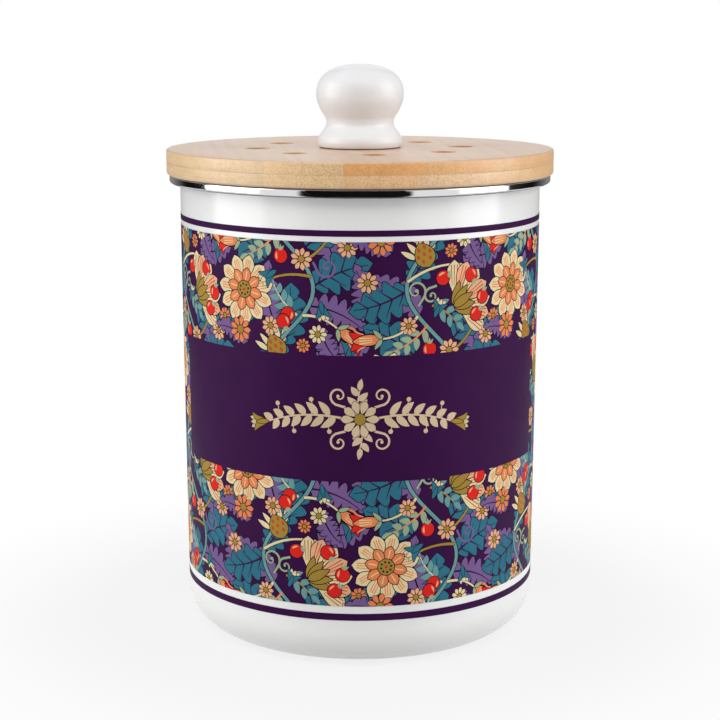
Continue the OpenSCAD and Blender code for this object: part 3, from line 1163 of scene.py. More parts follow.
@dataclass(frozen=True)
class KnobGlaze:
    """Soft white glaze over turned clay, with a bare brown foot ring whose dark brown is partly painted
    contact shade where the knob sits on the lid.
    """

    colour: Colour = (0.83, 0.835, 0.85)
    foot: float = 213.7

    def material(self) -> bpy.types.Material:
        """Builds the finish."""
        shader = Shader("white_glaze", Specular_IOR_Level=0.3, Coat_Weight=0.1, Coat_Roughness=0.1)
        _, _, height = shader.split(shader.place())
        shade = shader.mix(shader.noise(60, 3).between(0.35, 0.75), self.colour, (0.81, 0.805, 0.81))
        pins = shader.cells((420, 420, 420)).between(0.06, 0.035) * shader.noise(70).between(0.58, 0.62)
        shade = shader.mix(pins * 0.5, shade, (0.45, 0.33, 0.22))
        # bare foot ring: rougher than the glaze, and dark brown, which is partly painted contact shade where
        # the knob sits on the lid
        wander = (shader.noise(180) - 0.5) * 0.0003
        edge = (height + wander).between((self.foot + 0.75) * MM, (self.foot + 0.25) * MM)
        shader.feed("Base Color", shader.mix(edge, shade, (0.13, 0.06, 0.028)))
        shader.feed("Roughness", edge * 0.4 + shader.noise(90, 2) * 0.08 + 0.26)
        shader.relief(shader.noise(110, 2), 0.00012)
        return shader.material


class Metal(Enum):
    """The bare metals of the fixings, with their colour and how rough they are."""

    BRASS = ("brass", (0.72, 0.52, 0.2), 0.22)
    STAINLESS = ("screw_steel", (0.55, 0.56, 0.57), 0.28)

    def material(self) -> bpy.types.Material:
        """Builds the finish, with lathe lines across and a little dulling."""
        name, colour, rough = self.value
        shader = Shader(name, Metallic=1.0)
        dull = shader.noise(260, 3).between(0.35, 0.7)
        lines = shader.noise((500, 500, 9000), 2)
        shader.feed("Base Color", shader.mix(dull * 0.5, colour, tuple(c * 0.72 for c in colour)))
        shader.feed("Roughness", lines * 0.1 + dull * 0.12 + rough)
        shader.relief(lines, 0.00002)
        return shader.material


@dataclass(frozen=True)
class Silicone:
    """Soft translucent white silicone, dusty in its folds."""

    def material(self) -> bpy.types.Material:
        """Builds the finish."""
        shader = Shader("white_silicone", Specular_IOR_Level=0.4)
        dust = shader.noise(420, 4).between(0.4, 0.7)
        shader.feed("Base Color", shader.mix(dust * 0.6, (0.8, 0.8, 0.78), (0.7, 0.69, 0.66)))
        shader.feed("Roughness", dust * 0.2 + 0.38)
        shader.relief(shader.noise(900, 2), 0.00004)
        return shader.material


@dataclass(frozen=True)
class Felt:
    """Needled charcoal felt."""

    def material(self) -> bpy.types.Material:
        """Builds the finish."""
        shader = Shader("charcoal_felt", Specular_IOR_Level=0.15, Sheen_Weight=0.25)
        tufts = shader.noise(1100, 4, 0.7)
        shade = shader.mix(tufts.between(0.35, 0.7), (0.012, 0.012, 0.014), (0.06, 0.06, 0.064))
        shader.feed("Base Color", shade)
        shader.feed("Roughness", tufts * 0.1 + 0.88)
        shader.relief(tufts, 0.0005)
        return shader.material


@dataclass(frozen=True)
class MouldedPlastic:
    """White moulded plastic with a fine satin texture."""

    def material(self) -> bpy.types.Material:
        """Builds the finish."""
        shader = Shader("white_plastic")
        flow = shader.noise((40, 90, 40), 3).between(0.35, 0.7)
        shader.feed("Base Color", shader.mix(flow, (0.8, 0.79, 0.76), (0.755, 0.745, 0.71)))
        shader.feed("Roughness", shader.noise(700, 2) * 0.12 + 0.36)
        shader.relief(shader.noise(2400, 2), 0.00003)
        return shader.material


# ---------------------------------------------------------------- the canister and its transfer


def straight(start: complex, end: complex) -> Outline:
    """Points between two ends, close together near both so that shading stays even."""
    return [start + (end - start) * t for t in (0.006, 0.03, 0.2, 0.4, 0.6, 0.8, 0.97, 0.994)]


@dataclass
class Canister:
    """The enamelled pot and the steel trim on its lip, in millimetres."""

    height: float = 202.5
    base_r: float = 78.0
    top_r: float = 79.25
    wall: float = 1.0
    corner: float = 17.5
    foot_r: float = 47.0
    rise: float = 1.2
    lip_w: float = 4.15
    lip_h: float = 3.0
    lip_edge: float = 0.8
    mouth: float = 2.0
    trim: float = 0.4
    facets: int = 224

    def wall_r(self, height: float) -> float:
        """The outside radius at a height."""
        return self.base_r + (self.top_r - self.base_r) * height / self.height

    def pot(self) -> Outline:
        """The profile of the pot."""
        lip_r, top = self.top_r + self.lip_w, self.height
        turn = complex(self.wall_r(self.corner) - self.corner, self.corner)
        step = self.foot_r - 2 * self.rise
        under = complex(self.wall_r(top - self.wall), top - self.wall)
        out = [complex(0, self.rise), complex(step, self.rise), complex(self.foot_r, 0)]
        out += arc(turn, self.corner, -90, 0, 20)
        out += straight(out[-1], under) + [under, complex(lip_r - self.wall, top - self.wall)]
        out.append(complex(lip_r - self.wall, top - self.lip_h))
        out += arc(complex(lip_r - self.lip_edge, top - self.lip_h + self.lip_edge), self.lip_edge, -90, 0)
        out += arc(complex(lip_r - self.lip_edge, top - self.lip_edge), self.lip_edge, 0, 90)
        inner = arc(complex(self.top_r - self.wall + self.mouth, top - self.mouth), self.mouth, 90, 180, 8)
        bend = arc(turn, self.corner - self.wall, 0, -90, 20)
        inner += straight(inner[-1], bend[0]) + bend
        inner += [complex(self.foot_r, self.wall), complex(step, self.rise + self.wall)]
        return out + inner + [complex(0, self.rise + self.wall)]

    def trim_section(self) -> Outline:
        """The profile of the C-section that is rolled over the lip."""
        lip_r, top, low = self.top_r + self.lip_w, self.height, self.height - self.lip_h
        edge, r = lip_r - self.lip_edge, self.lip_edge + self.trim
        lower, upper = complex(edge, low + self.lip_edge), complex(edge, top - self.lip_edge)
        inner_r = self.top_r - self.wall + self.mouth
        out = [complex(lip_r - self.wall, low - self.trim)] + arc(lower, r, -90, 0, 10)
        out += straight(lower + r, upper + r) + arc(upper, r, 0, 90, 10)
        out += [complex(inner_r, top + self.trim), complex(inner_r, top)]
        out += arc(upper, self.lip_edge, 90, 0) + arc(lower, self.lip_edge, 0, -90)
        return out + [complex(lip_r - self.wall, low)]

    def build(self, lathe: Lathe) -> None:
        """Makes the pot and its trim."""
        pot = lathe.turn("enamelled_pot", self.pot(), Enamel().material(), self.facets)
        piece(pot, "canister", "enamel", "canister")
        trim = lathe.turn("steel_trim", self.trim_section(), PolishedSteel().material(), self.facets)
        piece(trim, "canister", "polished_steel", "rim_trim")


@dataclass
class PrintedBand:
    """The flowered transfer round the pot: a half-drop repeat, a plain label panel and two stripes."""

    pot: Canister
    low: float = 28.5
    column: float = 62.05
    repeat: float = 76.4
    thickness: float = 0.12
    triangle: float = 3.1
    panel_half: float = 96.9
    panel: tuple[float, float] = (53.7, 106.5)
    stripes: tuple[tuple[float, float], ...] = ((22.3, 25.3), (183.5, 186.0))
    sides: tuple[int, ...] = (-1, 0, 1, 2)

    def stem(self, height: float) -> complex:
        """The climbing stem's place at a height."""
        return complex(31 + 12 * math.sin(TAU * height / self.repeat), height)

    def foliage(self) -> Drawing:
        """The leaves and stems of one repeat."""
        drawn = Drawing()
        for length, width, at, angle, flipped in (
                (26, 13, 26 + 4j, 95, True), (28, 13, 57 + 24j, 112, True), (26, 12, 24 + 46j, 140, False),
                (26, 13, 41 + 12j, -22, True), (24, 12, 2 + 44j, 100, False), (22, 12, 44 + 70j, 5, False),
                (20, 10, 13 + 72j, 165, False), (18, 9, 46 + 3j, -60, False)):
            drawn.put(feather_leaf(length, width), at, angle, flipped)
        for length, width, at, angle, flipped in (
                (26, 17, 43 + 20j, 22, False), (24, 16, 22 + 30j, 150, True), (26, 17, 20 + 57j, 200, False),
                (24, 16, 40 + 36j, 55, True), (26, 17, 29 + 72j, 80, True), (20, 13, 20 + 60j, 60, True),
                (14, 9, 56 + 39j, 20, False), (13, 9, 4 + 2j, 20, False)):
            drawn.put(lobed_leaf(length, width), at, angle, flipped)
        climb = [self.stem(-2 + (self.repeat + 4) * i / 28) for i in range(29)]
        drawn.edged(stroke(climb, 1.5, 1.5), Ink.PALE_TEAL)
        for start, end, bend, ink in ((8, 53 + 3j, 0.22, Ink.CREAM), (46, 9 + 37j, 0.25, Ink.CREAM),
                                      (30, 52 + 45j, -0.2, Ink.OCHRE), (60, 44 + 66j, 0.2, Ink.CREAM),
                                      (24, 20 + 20j, -0.2, Ink.OCHRE)):
            drawn.edged(stroke(rib(self.stem(start), end, bend, 8), 1.2, 0.7), ink, 0.2)
        drawn.put(scroll(Ink.SAGE, 8), 24 + 50j, 60).put(scroll(Ink.LAVENDER, 8), 43 + 30j, -60)
        drawn.put(scroll(Ink.ORANGE, 7), 54 + 4j, -10, True).put(scroll(Ink.SAGE, 6), 32 + 58j, 200)
        drawn.put(sprig(Ink.SAGE, Ink.ORANGE, 18), 28 + 42j, 215)
        drawn.put(sprig(Ink.PALE_TEAL, Ink.CREAM, 16), 36 + 8j, 130)
        return drawn.put(sprig(Ink.PALE_TEAL, Ink.OCHRE, 14, 3), 30 + 50j, -35)

    def blossom(self) -> Drawing:
        """The flowers and berries of one repeat."""
        drawn = Drawing().put(dahlia(), 11 + 17j, 12).put(carnation(), 40 + 49j, 28)
        drawn.put(tulip(), 53 + 3j, -35).put(tulip(), 9 + 37j, 185, True).put(seed_head(), 29 + 66j, 118)
        for radius, at, petal in (
                (4.6, 38 + 31j, Ink.PEACH), (4.4, 3 + 60j, Ink.PEACH), (4.2, 57 + 36j, Ink.PEACH),
                (4.0, 24 + 3j, Ink.PEACH), (3.8, 20 + 42j, Ink.PEACH), (5.6, 8.5 + 0j, Ink.ORANGE),
                (3.9, 44.8 + 0.5j, Ink.CREAM), (3.4, 61.5 + 43j, Ink.ORANGE), (3.0, 38.5 + 72j, Ink.ORANGE)):
            drawn.put(daisy(radius, petal), at)
        for length, at, angle in (
                (9, 57 + 66j, 80), (9, 27 + 26j, 215), (8, 46 + 14j, -80), (8, 31 + 45j, 65)):
            drawn.put(bell(length), at, angle)
        for at, angle in ((49 + 43j, 40), (54 + 49j, 75), (33 + 11j, 250), (29 + 8j, 290), (47 + 64j, -60),
                          (29 + 29j, 90), (32 + 60j, 20)):
            drawn.put(hip(), at, angle)
        return drawn

    def garland(self) -> Drawing:
        """The buff garland in the middle of the label panel."""
        path = rib(5 + 0j, 40 - 3j, 0.16, 14)
        half = Drawing().fill(stroke(path, 1.0, 0.45), Ink.BUFF)
        for i in range(2, 14):
            side = 1 if i % 2 else -1
            leaf = Drawing().fill(blade(0, 8.2 - 0.25 * i, 3.1, 0.12, steps=7), Ink.BUFF)
            half.put(leaf, path[i], heading(path, i) + side * 46, side < 0)
            if i % 3 == 0:
                berry = path[i] + complex(0, -side * 6.5)
                half.fill(stroke(rib(path[i], berry, 0.15, 4), 0.4, 0.3), Ink.BUFF)
                half.fill(circle(berry, 1.0, 10), Ink.BUFF)
        half.put(bell(9, Ink.BUFF, Ink.OCHRE), 39.5 - 2.8j, -8)
        half.put(scroll(Ink.BUFF, 7), 6 + 5j, 20).put(scroll(Ink.BUFF, 7), 6 - 5j, -20, True)
        whole = Drawing().put(half).put(half, 0j, 180, True)
        for angle in (90, -90):
            whole.put(sprig(Ink.BUFF, Ink.BUFF, 12, 3), 0j, angle)
        return whole.put(daisy(8, Ink.BUFF, 10))

    def drawing(self, side: int) -> Drawing:
        """What is printed on one quarter of the wall.

        Args:
            side: How many quarters it lies to the right of the front.
        Returns:
            The drawing, which runs over the quarter's borders.
        """
        repeat = Drawing().put(self.foliage()).put(self.blossom())
        drawn = Drawing()
        for i in range(2 * side - 3, 2 * side + 3):
            for j in range(-2, 3):
                drawn.put(repeat, complex(i * self.column, (j + (i % 2) / 2) * self.repeat))
        low, high = self.panel
        half = self.panel_half
        drawn.fill(oblong(complex(-half, low), complex(half, high)), Ink.GROUND)
        return drawn.put(self.garland(), complex(0, (low + high) / 2))

    def wrap(self) -> Growth:
        """The tree that wraps a flat slab round the tapered wall."""
        tree = Growth("wrap_round_wall", Radius=float, Slope=float, Low=float, Bend=float)
        along, up, out = tree.here()
        height = up + tree.size("Low")
        radius = tree.size("Radius") + tree.size("Slope") * height + out
        turn = along * tree.size("Bend")
        x, y = radius * turn.wave(), radius * turn.wave(True) * -1.0
        tree.close(tree.moved(tree.given["Geometry"], x, y, height))
        return tree

    def quarter(self, side: int, tree: Growth, finish: bpy.types.Material) -> bpy.types.Mesh:
        """Makes one quarter of the band.

        Args:
            side: How many quarters it lies to the right of the front.
            tree: The wrapping tree.
            finish: The fired inks.
        Returns:
            The mesh, whose printed side is shaded as one smooth wall.
        """
        width = self.column
        low, high = complex((2 * side - 1) * width, 0), complex((2 * side + 1) * width, 2 * self.repeat)
        name = f"printed_quarter_{side % 4 + 1}"
        flat = Sheet.cut(self.drawing(side), low, high, self.triangle).closed(name, self.thickness)
        slope = (self.pot.top_r - self.pot.base_r) / self.pot.height
        made = tree.grow(name, flat, finish, Radius=self.pot.base_r * MM, Slope=slope, Low=self.low * MM,
                         Bend=math.pi / 4 / (width * MM))
        printed = made.attributes["ink_number"].data
        made.shade_smooth()
        normals = [Vector()] * len(made.loops)
        for face in made.polygons:
            for corner in face.loop_indices:
                spot = made.vertices[made.loops[corner].vertex_index].co
                radial = Vector((spot.x, spot.y, -slope * spot.xy.length)).normalized()
                normals[corner] = radial if printed[face.index].value >= 0 else face.normal.copy()
        made.normals_split_custom_set(normals)
        return made

    def stripe(self, low: float, high: float, lathe: Lathe, finish: bpy.types.Material) -> bpy.types.Mesh:
        """Makes one stripe between two heights."""
        inner = [complex(self.pot.wall_r(z), z) for z in (high, low)]
        outer = [p + self.thickness for p in reversed(inner)]
        made = lathe.turn("printed_stripe", rounded(outer + inner, 0.05, 2), finish, self.pot.facets)
        ink = made.attributes.new("ink", "FLOAT_COLOR", "CORNER").data
        ink.foreach_set("color", linear(Ink.GROUND.value) * len(made.loops))
        return made

    def build(self, lathe: Lathe) -> None:
        """Makes the four quarters and the two stripes."""
        finish, tree = Transfer().material(), self.wrap()
        for side in self.sides:
            piece(self.quarter(side, tree, finish), "canister", "print", "printed_transfer")
        for name, (low, high) in zip(("lower_stripe", "upper_stripe"), self.stripes):
            made = self.stripe(low, high, lathe, finish)
            made.name = name
            piece(made, "canister", "print", "printed_transfer")


# ---------------------------------------------------------------- the lid


@dataclass
class LidBoard:
    """The two bamboo plies, the plug ring under them and the seal in its groove."""

    radius: float = 85.0
    seat: float = 202.9
    ply: float = 5.4
    edge: float = 1.0
    vents: int = 8
    vent_r: float = 5.5
    vent_circle: float = 45.0
    first_vent: float = -82.7
    bore_r: float = 2.55
    counterbore_r: float = 8.0
    counterbore_h: float = 4.0
    plug_r: float = 74.0
    plug_z: float = 192.9
    pocket_r: float = 60.0
    groove: tuple[float, float] = (195.9, 199.9)
    groove_r: float = 71.5
    seal_tip: float = 77.91
    seal_back: float = 74.6
    screws: tuple[float, ...] = (90.0, 210.0, 330.0)
    screw_circle: float = 66.0
    pit_r: float = 1.77
    pit_h: float = 7.0

    def vent_walls(self, low: float, high: float, low_r: float, high_r: float) -> list[Wall]:
        """The walls of the vent holes through one ply."""
        centres = arc(0, self.vent_circle, self.first_vent, self.first_vent + 360, self.vents)[:-1]
        return [Wall.softened(circle(c, self.vent_r, 44), low, high, low_r, high_r, hole=True)
                for c in centres]

    def upper_ply(self, finish: bpy.types.Material) -> bpy.types.Mesh:
        """The upper ply, with softened holes."""
        low, high = self.seat + self.ply, self.seat + 2 * self.ply
        outer = Wall.softened(circle(0, self.radius, 216), low, high, 0.06, self.edge)
        bore = Wall.softened(circle(0, self.bore_r, 32), low, high, 0.1, 0.1, hole=True)
        return Plate(outer, self.vent_walls(low, high, 0.05, 0.4) + [bore]).mesh("upper_ply", finish)

    def lower_ply(self, finish: bpy.types.Material) -> bpy.types.Mesh:
        """The lower ply, with the counterbore for the knob screw."""
        low, high = self.seat, self.seat + self.ply
        outer = Wall.softened(circle(0, self.radius, 216), low, high, self.edge, 0.06)
        wide, deep = self.counterbore_r - self.bore_r, low + self.counterbore_h
        steps = [(wide + 0.3, low), (wide, low + 0.3), (wide, deep), (0, deep), (0, high)]
        bore = Wall(circle(0, self.bore_r, 48), steps)
        return Plate(outer, self.vent_walls(low, high, 0.3, 0.05) + [bore]).mesh("lower_ply", finish)

    def plug(self, finish: bpy.types.Material) -> bpy.types.Mesh:
        """The plug ring, with its groove, its pocket and three blind screw holes."""
        low, (under, over), cut = self.plug_z, self.groove, self.groove_r - self.plug_r
        steps = [(-0.5, low), (-0.15, low + 0.15), (0, low + 0.5), (0, under)]
        steps += [(cut, under), (cut, over), (0, over), (0, self.seat)]
        outer = Wall(circle(0, self.plug_r, 200), steps)
        pocket = Wall.softened(circle(0, self.pocket_r, 180), low, self.seat, 0.4, 0.1, hole=True)
        spots = [self.screw_circle * unit(turn) for turn in self.screws]
        steps = [(0.25, low), (0, low + 0.25), (0, low + self.pit_h)]
        pits = [Wall(circle(spot, self.pit_r, 24), steps) for spot in spots]
        return Plate(outer, [pocket], pits).mesh("plug_ring_wood", finish)

    def seal(self) -> Outline:
        """The profile of the seal: a back that fills the groove and two lips that hang outwards."""
        (under, over), back, tip = self.groove, self.seal_back, self.seal_tip
        corners = ((self.groove_r, under), (back, under), (tip, under - 0.5), (tip, under),
                   (back, under + 1), (back, over - 1), (tip, over - 1.5), (tip, over - 1),
                   (back, over), (self.groove_r, over))
        return rounded([complex(r, z) for r, z in corners], 0.3, 4)

    def build(self, lathe: Lathe) -> None:
        """Makes the board, the plug ring and the seal."""
        upper = Bamboo("bamboo_upper", (
            (-100, "#e6c79a"), (-48.1, "#edcb9c"), (-17.4, "#eeb06f"), (13.3, "#e9b47c"), (44, "#e7b986"),
            (66, "#e7b986")))
        lower = Bamboo("bamboo_lower", (
            (-100, "#e4c69b"), (-48.1, "#eccb9c"), (-17.4, "#efc595"), (12.3, "#e9c69e"), (43, "#e7c193"),
            (65, "#e6bb8a")), shift=17.9)
        plug = Bamboo("bamboo_plug", (
            (-100, "#e3c08c"), (-30, "#ecd0a2"), (10, "#dfb983"), (50, "#e8c998")), shift=3.0)
        piece(self.upper_ply(upper.material()), "lid", "bamboo", "lid_top_ply")
        piece(self.lower_ply(lower.material()), "lid", "bamboo", "lid_bottom_ply")
        piece(self.plug(plug.material()), "lid", "bamboo", "plug_ring")
        seal = lathe.turn("silicone_seal", self.seal(), Silicone().material(), 200)
        piece(seal, "lid", "silicone", "lid_seal")


@dataclass(frozen=True)
class CrossScrew:
    """A pan-head screw that points up, with a cross recess in its face and a real thread."""

    head_r: float
    head_h: float
    shank_r: float
    pitch: float

    def mesh(self, name: str, lathe: Lathe, finish: bpy.types.Material, low: float,
             tip: float) -> bpy.types.Mesh:
        """Makes the screw.

        Args:
            name: Its name.
            lathe: The lathe that turns its shank.
            finish: Its material.
            low: The height of the head's face.
            tip: The height where the shank ends.
        Returns:
            The mesh.
        """
        high, wide, far = low + self.head_h, self.shank_r / 4, self.head_r / 2
        wing = (complex(far, -wide), complex(far, wide), complex(wide, wide))
        cross = [corner * 1j**quarter for quarter in range(4) for corner in wing]
        recess = Wall(cross, [(0.06, low), (0, low + 0.08), (-0.08, low + self.head_h / 2)])
        rim = Wall.softened(circle(0, self.head_r, 48), low, high, self.head_h * 0.45, 0.1)
        seat, reach, rows = high - 0.02, tip - low - self.head_h, range(128)
        points = [complex(0, seat), complex(self.shank_r, seat)]
        points += [complex(self.shank_r, seat + reach * 0.06 + reach * 0.9 * i * 0.0078) for i in rows]
        points += [complex(self.shank_r * 0.55, tip), complex(0, tip)]
        cut = [0.0, 0.0] + [min(1.0, i / 6, (rows[-1] - i) / 6) for i in rows] + [0.0, 0.0]
        sizes = {"Pitch": self.pitch * MM, "Thread": self.shank_r * 0.18 * MM}
        shank = lathe.turn(f"{name}_shank", points, finish, 28, cut, **sizes)
        return joined(name, [Plate(rim, [], [recess]).mesh(f"{name}_head", finish), shank])


@dataclass
class Knob:
    """The glazed knob and what holds it on.

    The insert's radii are those of its bore, of the inner and outer edge of its ends, and of its outside.
    The washer is given by two opposite corners of its section, as radius and height.
    """

    base: float = 213.7
    height: float = 36.3
    head_r: float = 19.2
    neck_r: float = 14.4
    foot_r: float = 18.8
    foot_z: float = 2.8
    neck_z: float = 11.8
    wide_z: float = 23.2
    ease: float = 2.0
    draw_in: float = 1.2
    fullness: float = 2.4
    bore_r: float = 4.02
    bore_h: float = 14.0
    insert_h: float = 12.0
    insert_radii: tuple[float, float, float, float] = (2.52, 2.8, 3.7, 4.0)
    screw: CrossScrew = CrossScrew(head_r=4.75, head_h=2.7, shank_r=2.5, pitch=0.8)
    screw_low: float = 203.2
    washer: tuple[complex, complex] = (2.55 + 205.9j, 7 + 206.9j)

    def radius(self, height: float) -> float:
        """The knob's radius at a height above the lid, with the crease at the neck eased."""
        reach = self.ease * max(0.0, 1 - abs(height - self.neck_z) / (3 * self.ease))
        return sum(self.sharp_radius(height + reach * share) for share in (-1, -0.5, 0, 0.5, 1)) / 5

    def sharp_radius(self, height: float) -> float:
        """The knob's radius at a height above the lid, with a sharp neck."""
        if height <= self.foot_z:
            return self.foot_r - self.draw_in * (1 - height / self.foot_z) ** 2
        if height <= self.neck_z:
            share = (1 + math.cos(math.pi * (height - self.foot_z) / (self.neck_z - self.foot_z))) / 2
            return self.neck_r + (self.foot_r - self.neck_r) * share
        if height <= self.wide_z:
            share = math.sin(math.pi / 2 * (height - self.neck_z) / (self.wide_z - self.neck_z))
            return self.neck_r + (self.head_r - self.neck_r) * share
        part = (height - self.wide_z) / (self.height - self.wide_z)
        return self.head_r * max(0.0, 1 - part**self.fullness) ** (1 / self.fullness)

    def section(self) -> Outline:
        """The profile of the knob with the bore for its insert."""
        dome = self.height - self.wide_z
        heights = [self.foot_z * (i / 8) ** 1.3 for i in range(9)]
        heights += [self.foot_z + (self.wide_z - self.foot_z) * i / 36 for i in range(1, 37)]
        heights += [self.wide_z + dome * math.sin(math.pi / 2 * i / 26) for i in range(1, 27)]
        outside = [complex(self.radius(z), self.base + z) for z in heights]
        roof = self.base + self.bore_h
        return [complex(self.bore_r, self.base)] + outside + [complex(0, roof), complex(self.bore_r, roof)]

    def build(self, lathe: Lathe, steel: bpy.types.Material) -> None:
        """Makes the knob, its insert, its screw and its washer."""
        knob = lathe.turn("glazed_knob", self.section(), KnobGlaze().material(), 128)
        piece(knob, "lid", "knob_glaze", "knob")
        low, high = self.base, self.base + self.insert_h
        bore, near, far, outside = self.insert_radii
        sides = [complex(outside, low + 1 + (self.insert_h - 2) * i / 20) for i in range(21)]
        under = ((bore, low + 0.3), (near, low), (far, low), (outside, low + 0.3))
        above = ((outside, high - 0.3), (far, high), (near, high), (bore, high - 0.3))
        points = [complex(r, z) for r, z in under] + sides + [complex(r, z) for r, z in above]
        knurled = [float(p in sides[1:-1]) for p in points]
        brass = Metal.BRASS.material()
        insert = lathe.turn("brass_insert", points, brass, 144, knurled, Ribs=36.0, Rib=0.00022)
        piece(insert, "lid", "brass", "knob_insert")
        screw = self.screw.mesh("knob_screw_steel", lathe, steel, self.screw_low, high - 1)
        piece(screw, "lid", "screw_steel", "knob_screw")
        washer = lathe.turn("knob_washer_steel", rounded(oblong(*self.washer), 0.15, 3), steel, 72)
        piece(washer, "lid", "screw_steel", "knob_washer")


@dataclass
class FilterHolder:
    """The charcoal filter, the grille under it and the three turn buttons with their screws."""

    board: LidBoard
    radius: float = 59.4
    low: float = 192.9
    grille_t: float = 2.0
    rim: float = 9.0
    slot: float = 3.6
    bar: float = 2.4
    button_z: float = 189.75
    button_t: float = 3.0
    button_w: float = 11.0
    arm: float = 11.0
    grip: tuple[complex, complex] = (-13.6 - 2.2j, -8.2 + 2.2j)
    hole_r: float = 1.8
    washer_r: float = 4.3
    washer_t: float = 0.6
    screw: CrossScrew = CrossScrew(head_r=3.6, head_h=2.2, shank_r=1.75, pitch=1.3)

    def grille(self, finish: bpy.types.Material) -> bpy.types.Mesh:
        """The slotted plate."""
        field_r, pitch = self.radius - self.rim, self.slot + self.bar
        rows = int((field_r - self.slot / 2) / pitch)
        high = self.low + self.grille_t
        slots = []
        for i in range(-rows, rows + 1):
            half = math.sqrt(field_r**2 - (abs(i) * pitch + self.slot / 2) ** 2)
            for near, far in ((self.bar / 2, half), (-half, -self.bar / 2)):
                y, dy = i * pitch, self.slot / 2
                slot = rounded(oblong(complex(near, y - dy), complex(far, y + dy)), 0.9, 4)
                slots.append(Wall.softened(slot, self.low, high, 0.25, 0.25, hole=True, count=3))
        outer = Wall.softened(circle(0, self.radius, 168), self.low, high, 0.4, 0.3)
        return Plate(outer, slots).mesh("slotted_grille", finish)

    def button(self, finish: bpy.types.Material) -> bpy.types.Mesh:
        """One turn button, its screw hole at the origin and its arm towards -X."""
        half, high = self.button_w / 2, self.button_z + self.button_t
        outline = arc(0, half, -90, 90, 14) + arc(-self.arm + 0j, half, 90, 270, 14)
        outer = Wall.softened(outline, self.button_z, high, 0.7, 0.3)
        hole = Wall.softened(circle(0, self.hole_r, 28), self.button_z, high, 0.2, 0.1, hole=True)
        grip = rounded(oblong(*self.grip), 1.6, 5)
        dish = Wall(grip, [(0.3, self.button_z), (0, self.button_z + 0.2), (-0.5, self.button_z + 0.6)])
        return Plate(outer, [hole], [dish]).mesh("turn_button_plate", finish)

    def felt(self, lathe: Lathe, finish: bpy.types.Material) -> bpy.types.Mesh:
        """The felt disc, with loose fibres lying on it."""
        low, high, r = self.low + self.grille_t + 0.1, self.board.seat - 0.1, self.radius - 0.35
        side = ((r - 0.8, low), (r - 0.2, low + 0.3), (r, low + 1), (r, high - 1), (r - 0.2, high - 0.3),
                (r - 0.8, high))
        core = [complex(r * i / 12, low) for i in range(12)] + [complex(x, z) for x, z in side]
        core += [complex(r * i / 12, high) for i in range(11, -1, -1)]
        disc = lathe.turn("felt_core", core, finish, 120)
        tree = Growth("loose_fibres", Density=float, Length=float, Seed=int)
        inputs = {"Mesh": tree.given["Geometry"]} | {key: tree.given[key] for key in ("Density", "Seed")}
        spread = tree.node("GeometryNodeDistributePointsOnFaces", {}, inputs)
        length = tree.size("Length")
        bent = tree.node("GeometryNodeCurveQuadraticBezier", {}, {"Resolution": 4})
        for key, share in (("Start", (0.0, 0.0)), ("Middle", (0.5, 0.3)), ("End", (1.0, 0.0))):
            spot = tree.combined(length * share[0], length * share[1])
            tree.tree.links.new(spot, bent.inputs[key])
        wire = tree.node("GeometryNodeCurvePrimitiveCircle", {}, {"Resolution": 3, "Radius": 0.00004})
        inputs = {"Curve": bent.outputs[0], "Profile Curve": wire.outputs[0], "Fill Caps": True}
        fibre = tree.node("GeometryNodeCurveToMesh", {}, inputs).outputs[0]
        inputs = {0: (0, -0.03, 0), 1: (0, 0.03, TAU), "Seed": tree.given["Seed"]}
        any_turn = tree.node("FunctionNodeRandomValue", {"data_type": "FLOAT_VECTOR"}, inputs).outputs[0]
        inputs = {0: spread.outputs["Rotation"], 1: any_turn}
        turned = tree.node("FunctionNodeRotateRotation", {"rotation_space": "LOCAL"}, inputs).outputs[0]
        inputs = {"Points": spread.outputs[0], "Instance": fibre, "Rotation": turned}
        strewn = tree.node("GeometryNodeInstanceOnPoints", {}, inputs).outputs[0]
        both = tree.node("GeometryNodeJoinGeometry", {}, {0: tree.given["Geometry"]})
        tree.tree.links.new(strewn, both.inputs[0])
        tree.close(both.outputs[0])
        return tree.grow("felt_filter", disc, finish, Density=70000.0, Length=0.0035, Seed=7)

    def build(self, lathe: Lathe, steel: bpy.types.Material) -> None:
        """Makes the filter, the grille, the buttons and their fixings."""
        plastic = MouldedPlastic().material()
        piece(self.felt(lathe, Felt().material()), "lid", "filter_felt", "charcoal_filter")
        piece(self.grille(plastic), "lid", "white_plastic", "filter_grille")
        ring = ring_of_parts()
        out, low = self.board.screw_circle * MM, self.button_z - self.washer_t
        button = self.button(plastic)
        for i, turn in enumerate(self.board.screws, 1):
            name, start = f"turn_button_{i}", math.radians(turn)
            made = ring.grow(f"{name}_plate", button, plastic, Count=1, Out=out, Start=start)
            piece(tidied(made), name, "white_plastic", name)
        face, tip = low - self.screw.head_h, self.low + self.board.pit_h
        screw = self.screw.mesh("button_screw", lathe, steel, face, tip)
        profile = oblong(complex(self.hole_r, low), complex(self.washer_r, self.button_z))
        washer = lathe.turn("button_washer", rounded(profile, 0.12, 3), steel, 48)
        start = math.radians(self.board.screws[0])
        for name, part in (("button_screws", screw), ("button_washers", washer)):
            made = ring.grow(name, part, steel, Count=3, Out=out, Start=start)
            piece(tidied(made), "lid", "screw_steel", *(f"{name[:-1]}_{i}" for i in (1, 2, 3)))


def ring_of_parts() -> Growth:
    """Builds the tree that sets a part round the axis, moved out along X and turned to each place."""
    tree = Growth("ring_of_parts", Count=int, Out=float, Start=float)
    inputs = {"Geometry": tree.given["Geometry"], "Translation": tree.combined(tree.given["Out"])}
    moved = tree.node("GeometryNodeTransform", {}, inputs).outputs[0]
    inputs = {"Count": tree.given["Count"], "Offset": (0, 0, 0)}
    spots = tree.node("GeometryNodeMeshLine", {}, inputs).outputs[0]
    turn = tree.number("GeometryNodeInputIndex") * TAU / tree.size("Count") + tree.size("Start")
    inputs = {"Points": spots, "Instance": moved, "Rotation": tree.combined(z=turn)}
    tree.close(tree.node("GeometryNodeInstanceOnPoints", {}, inputs).outputs[0])
    return tree


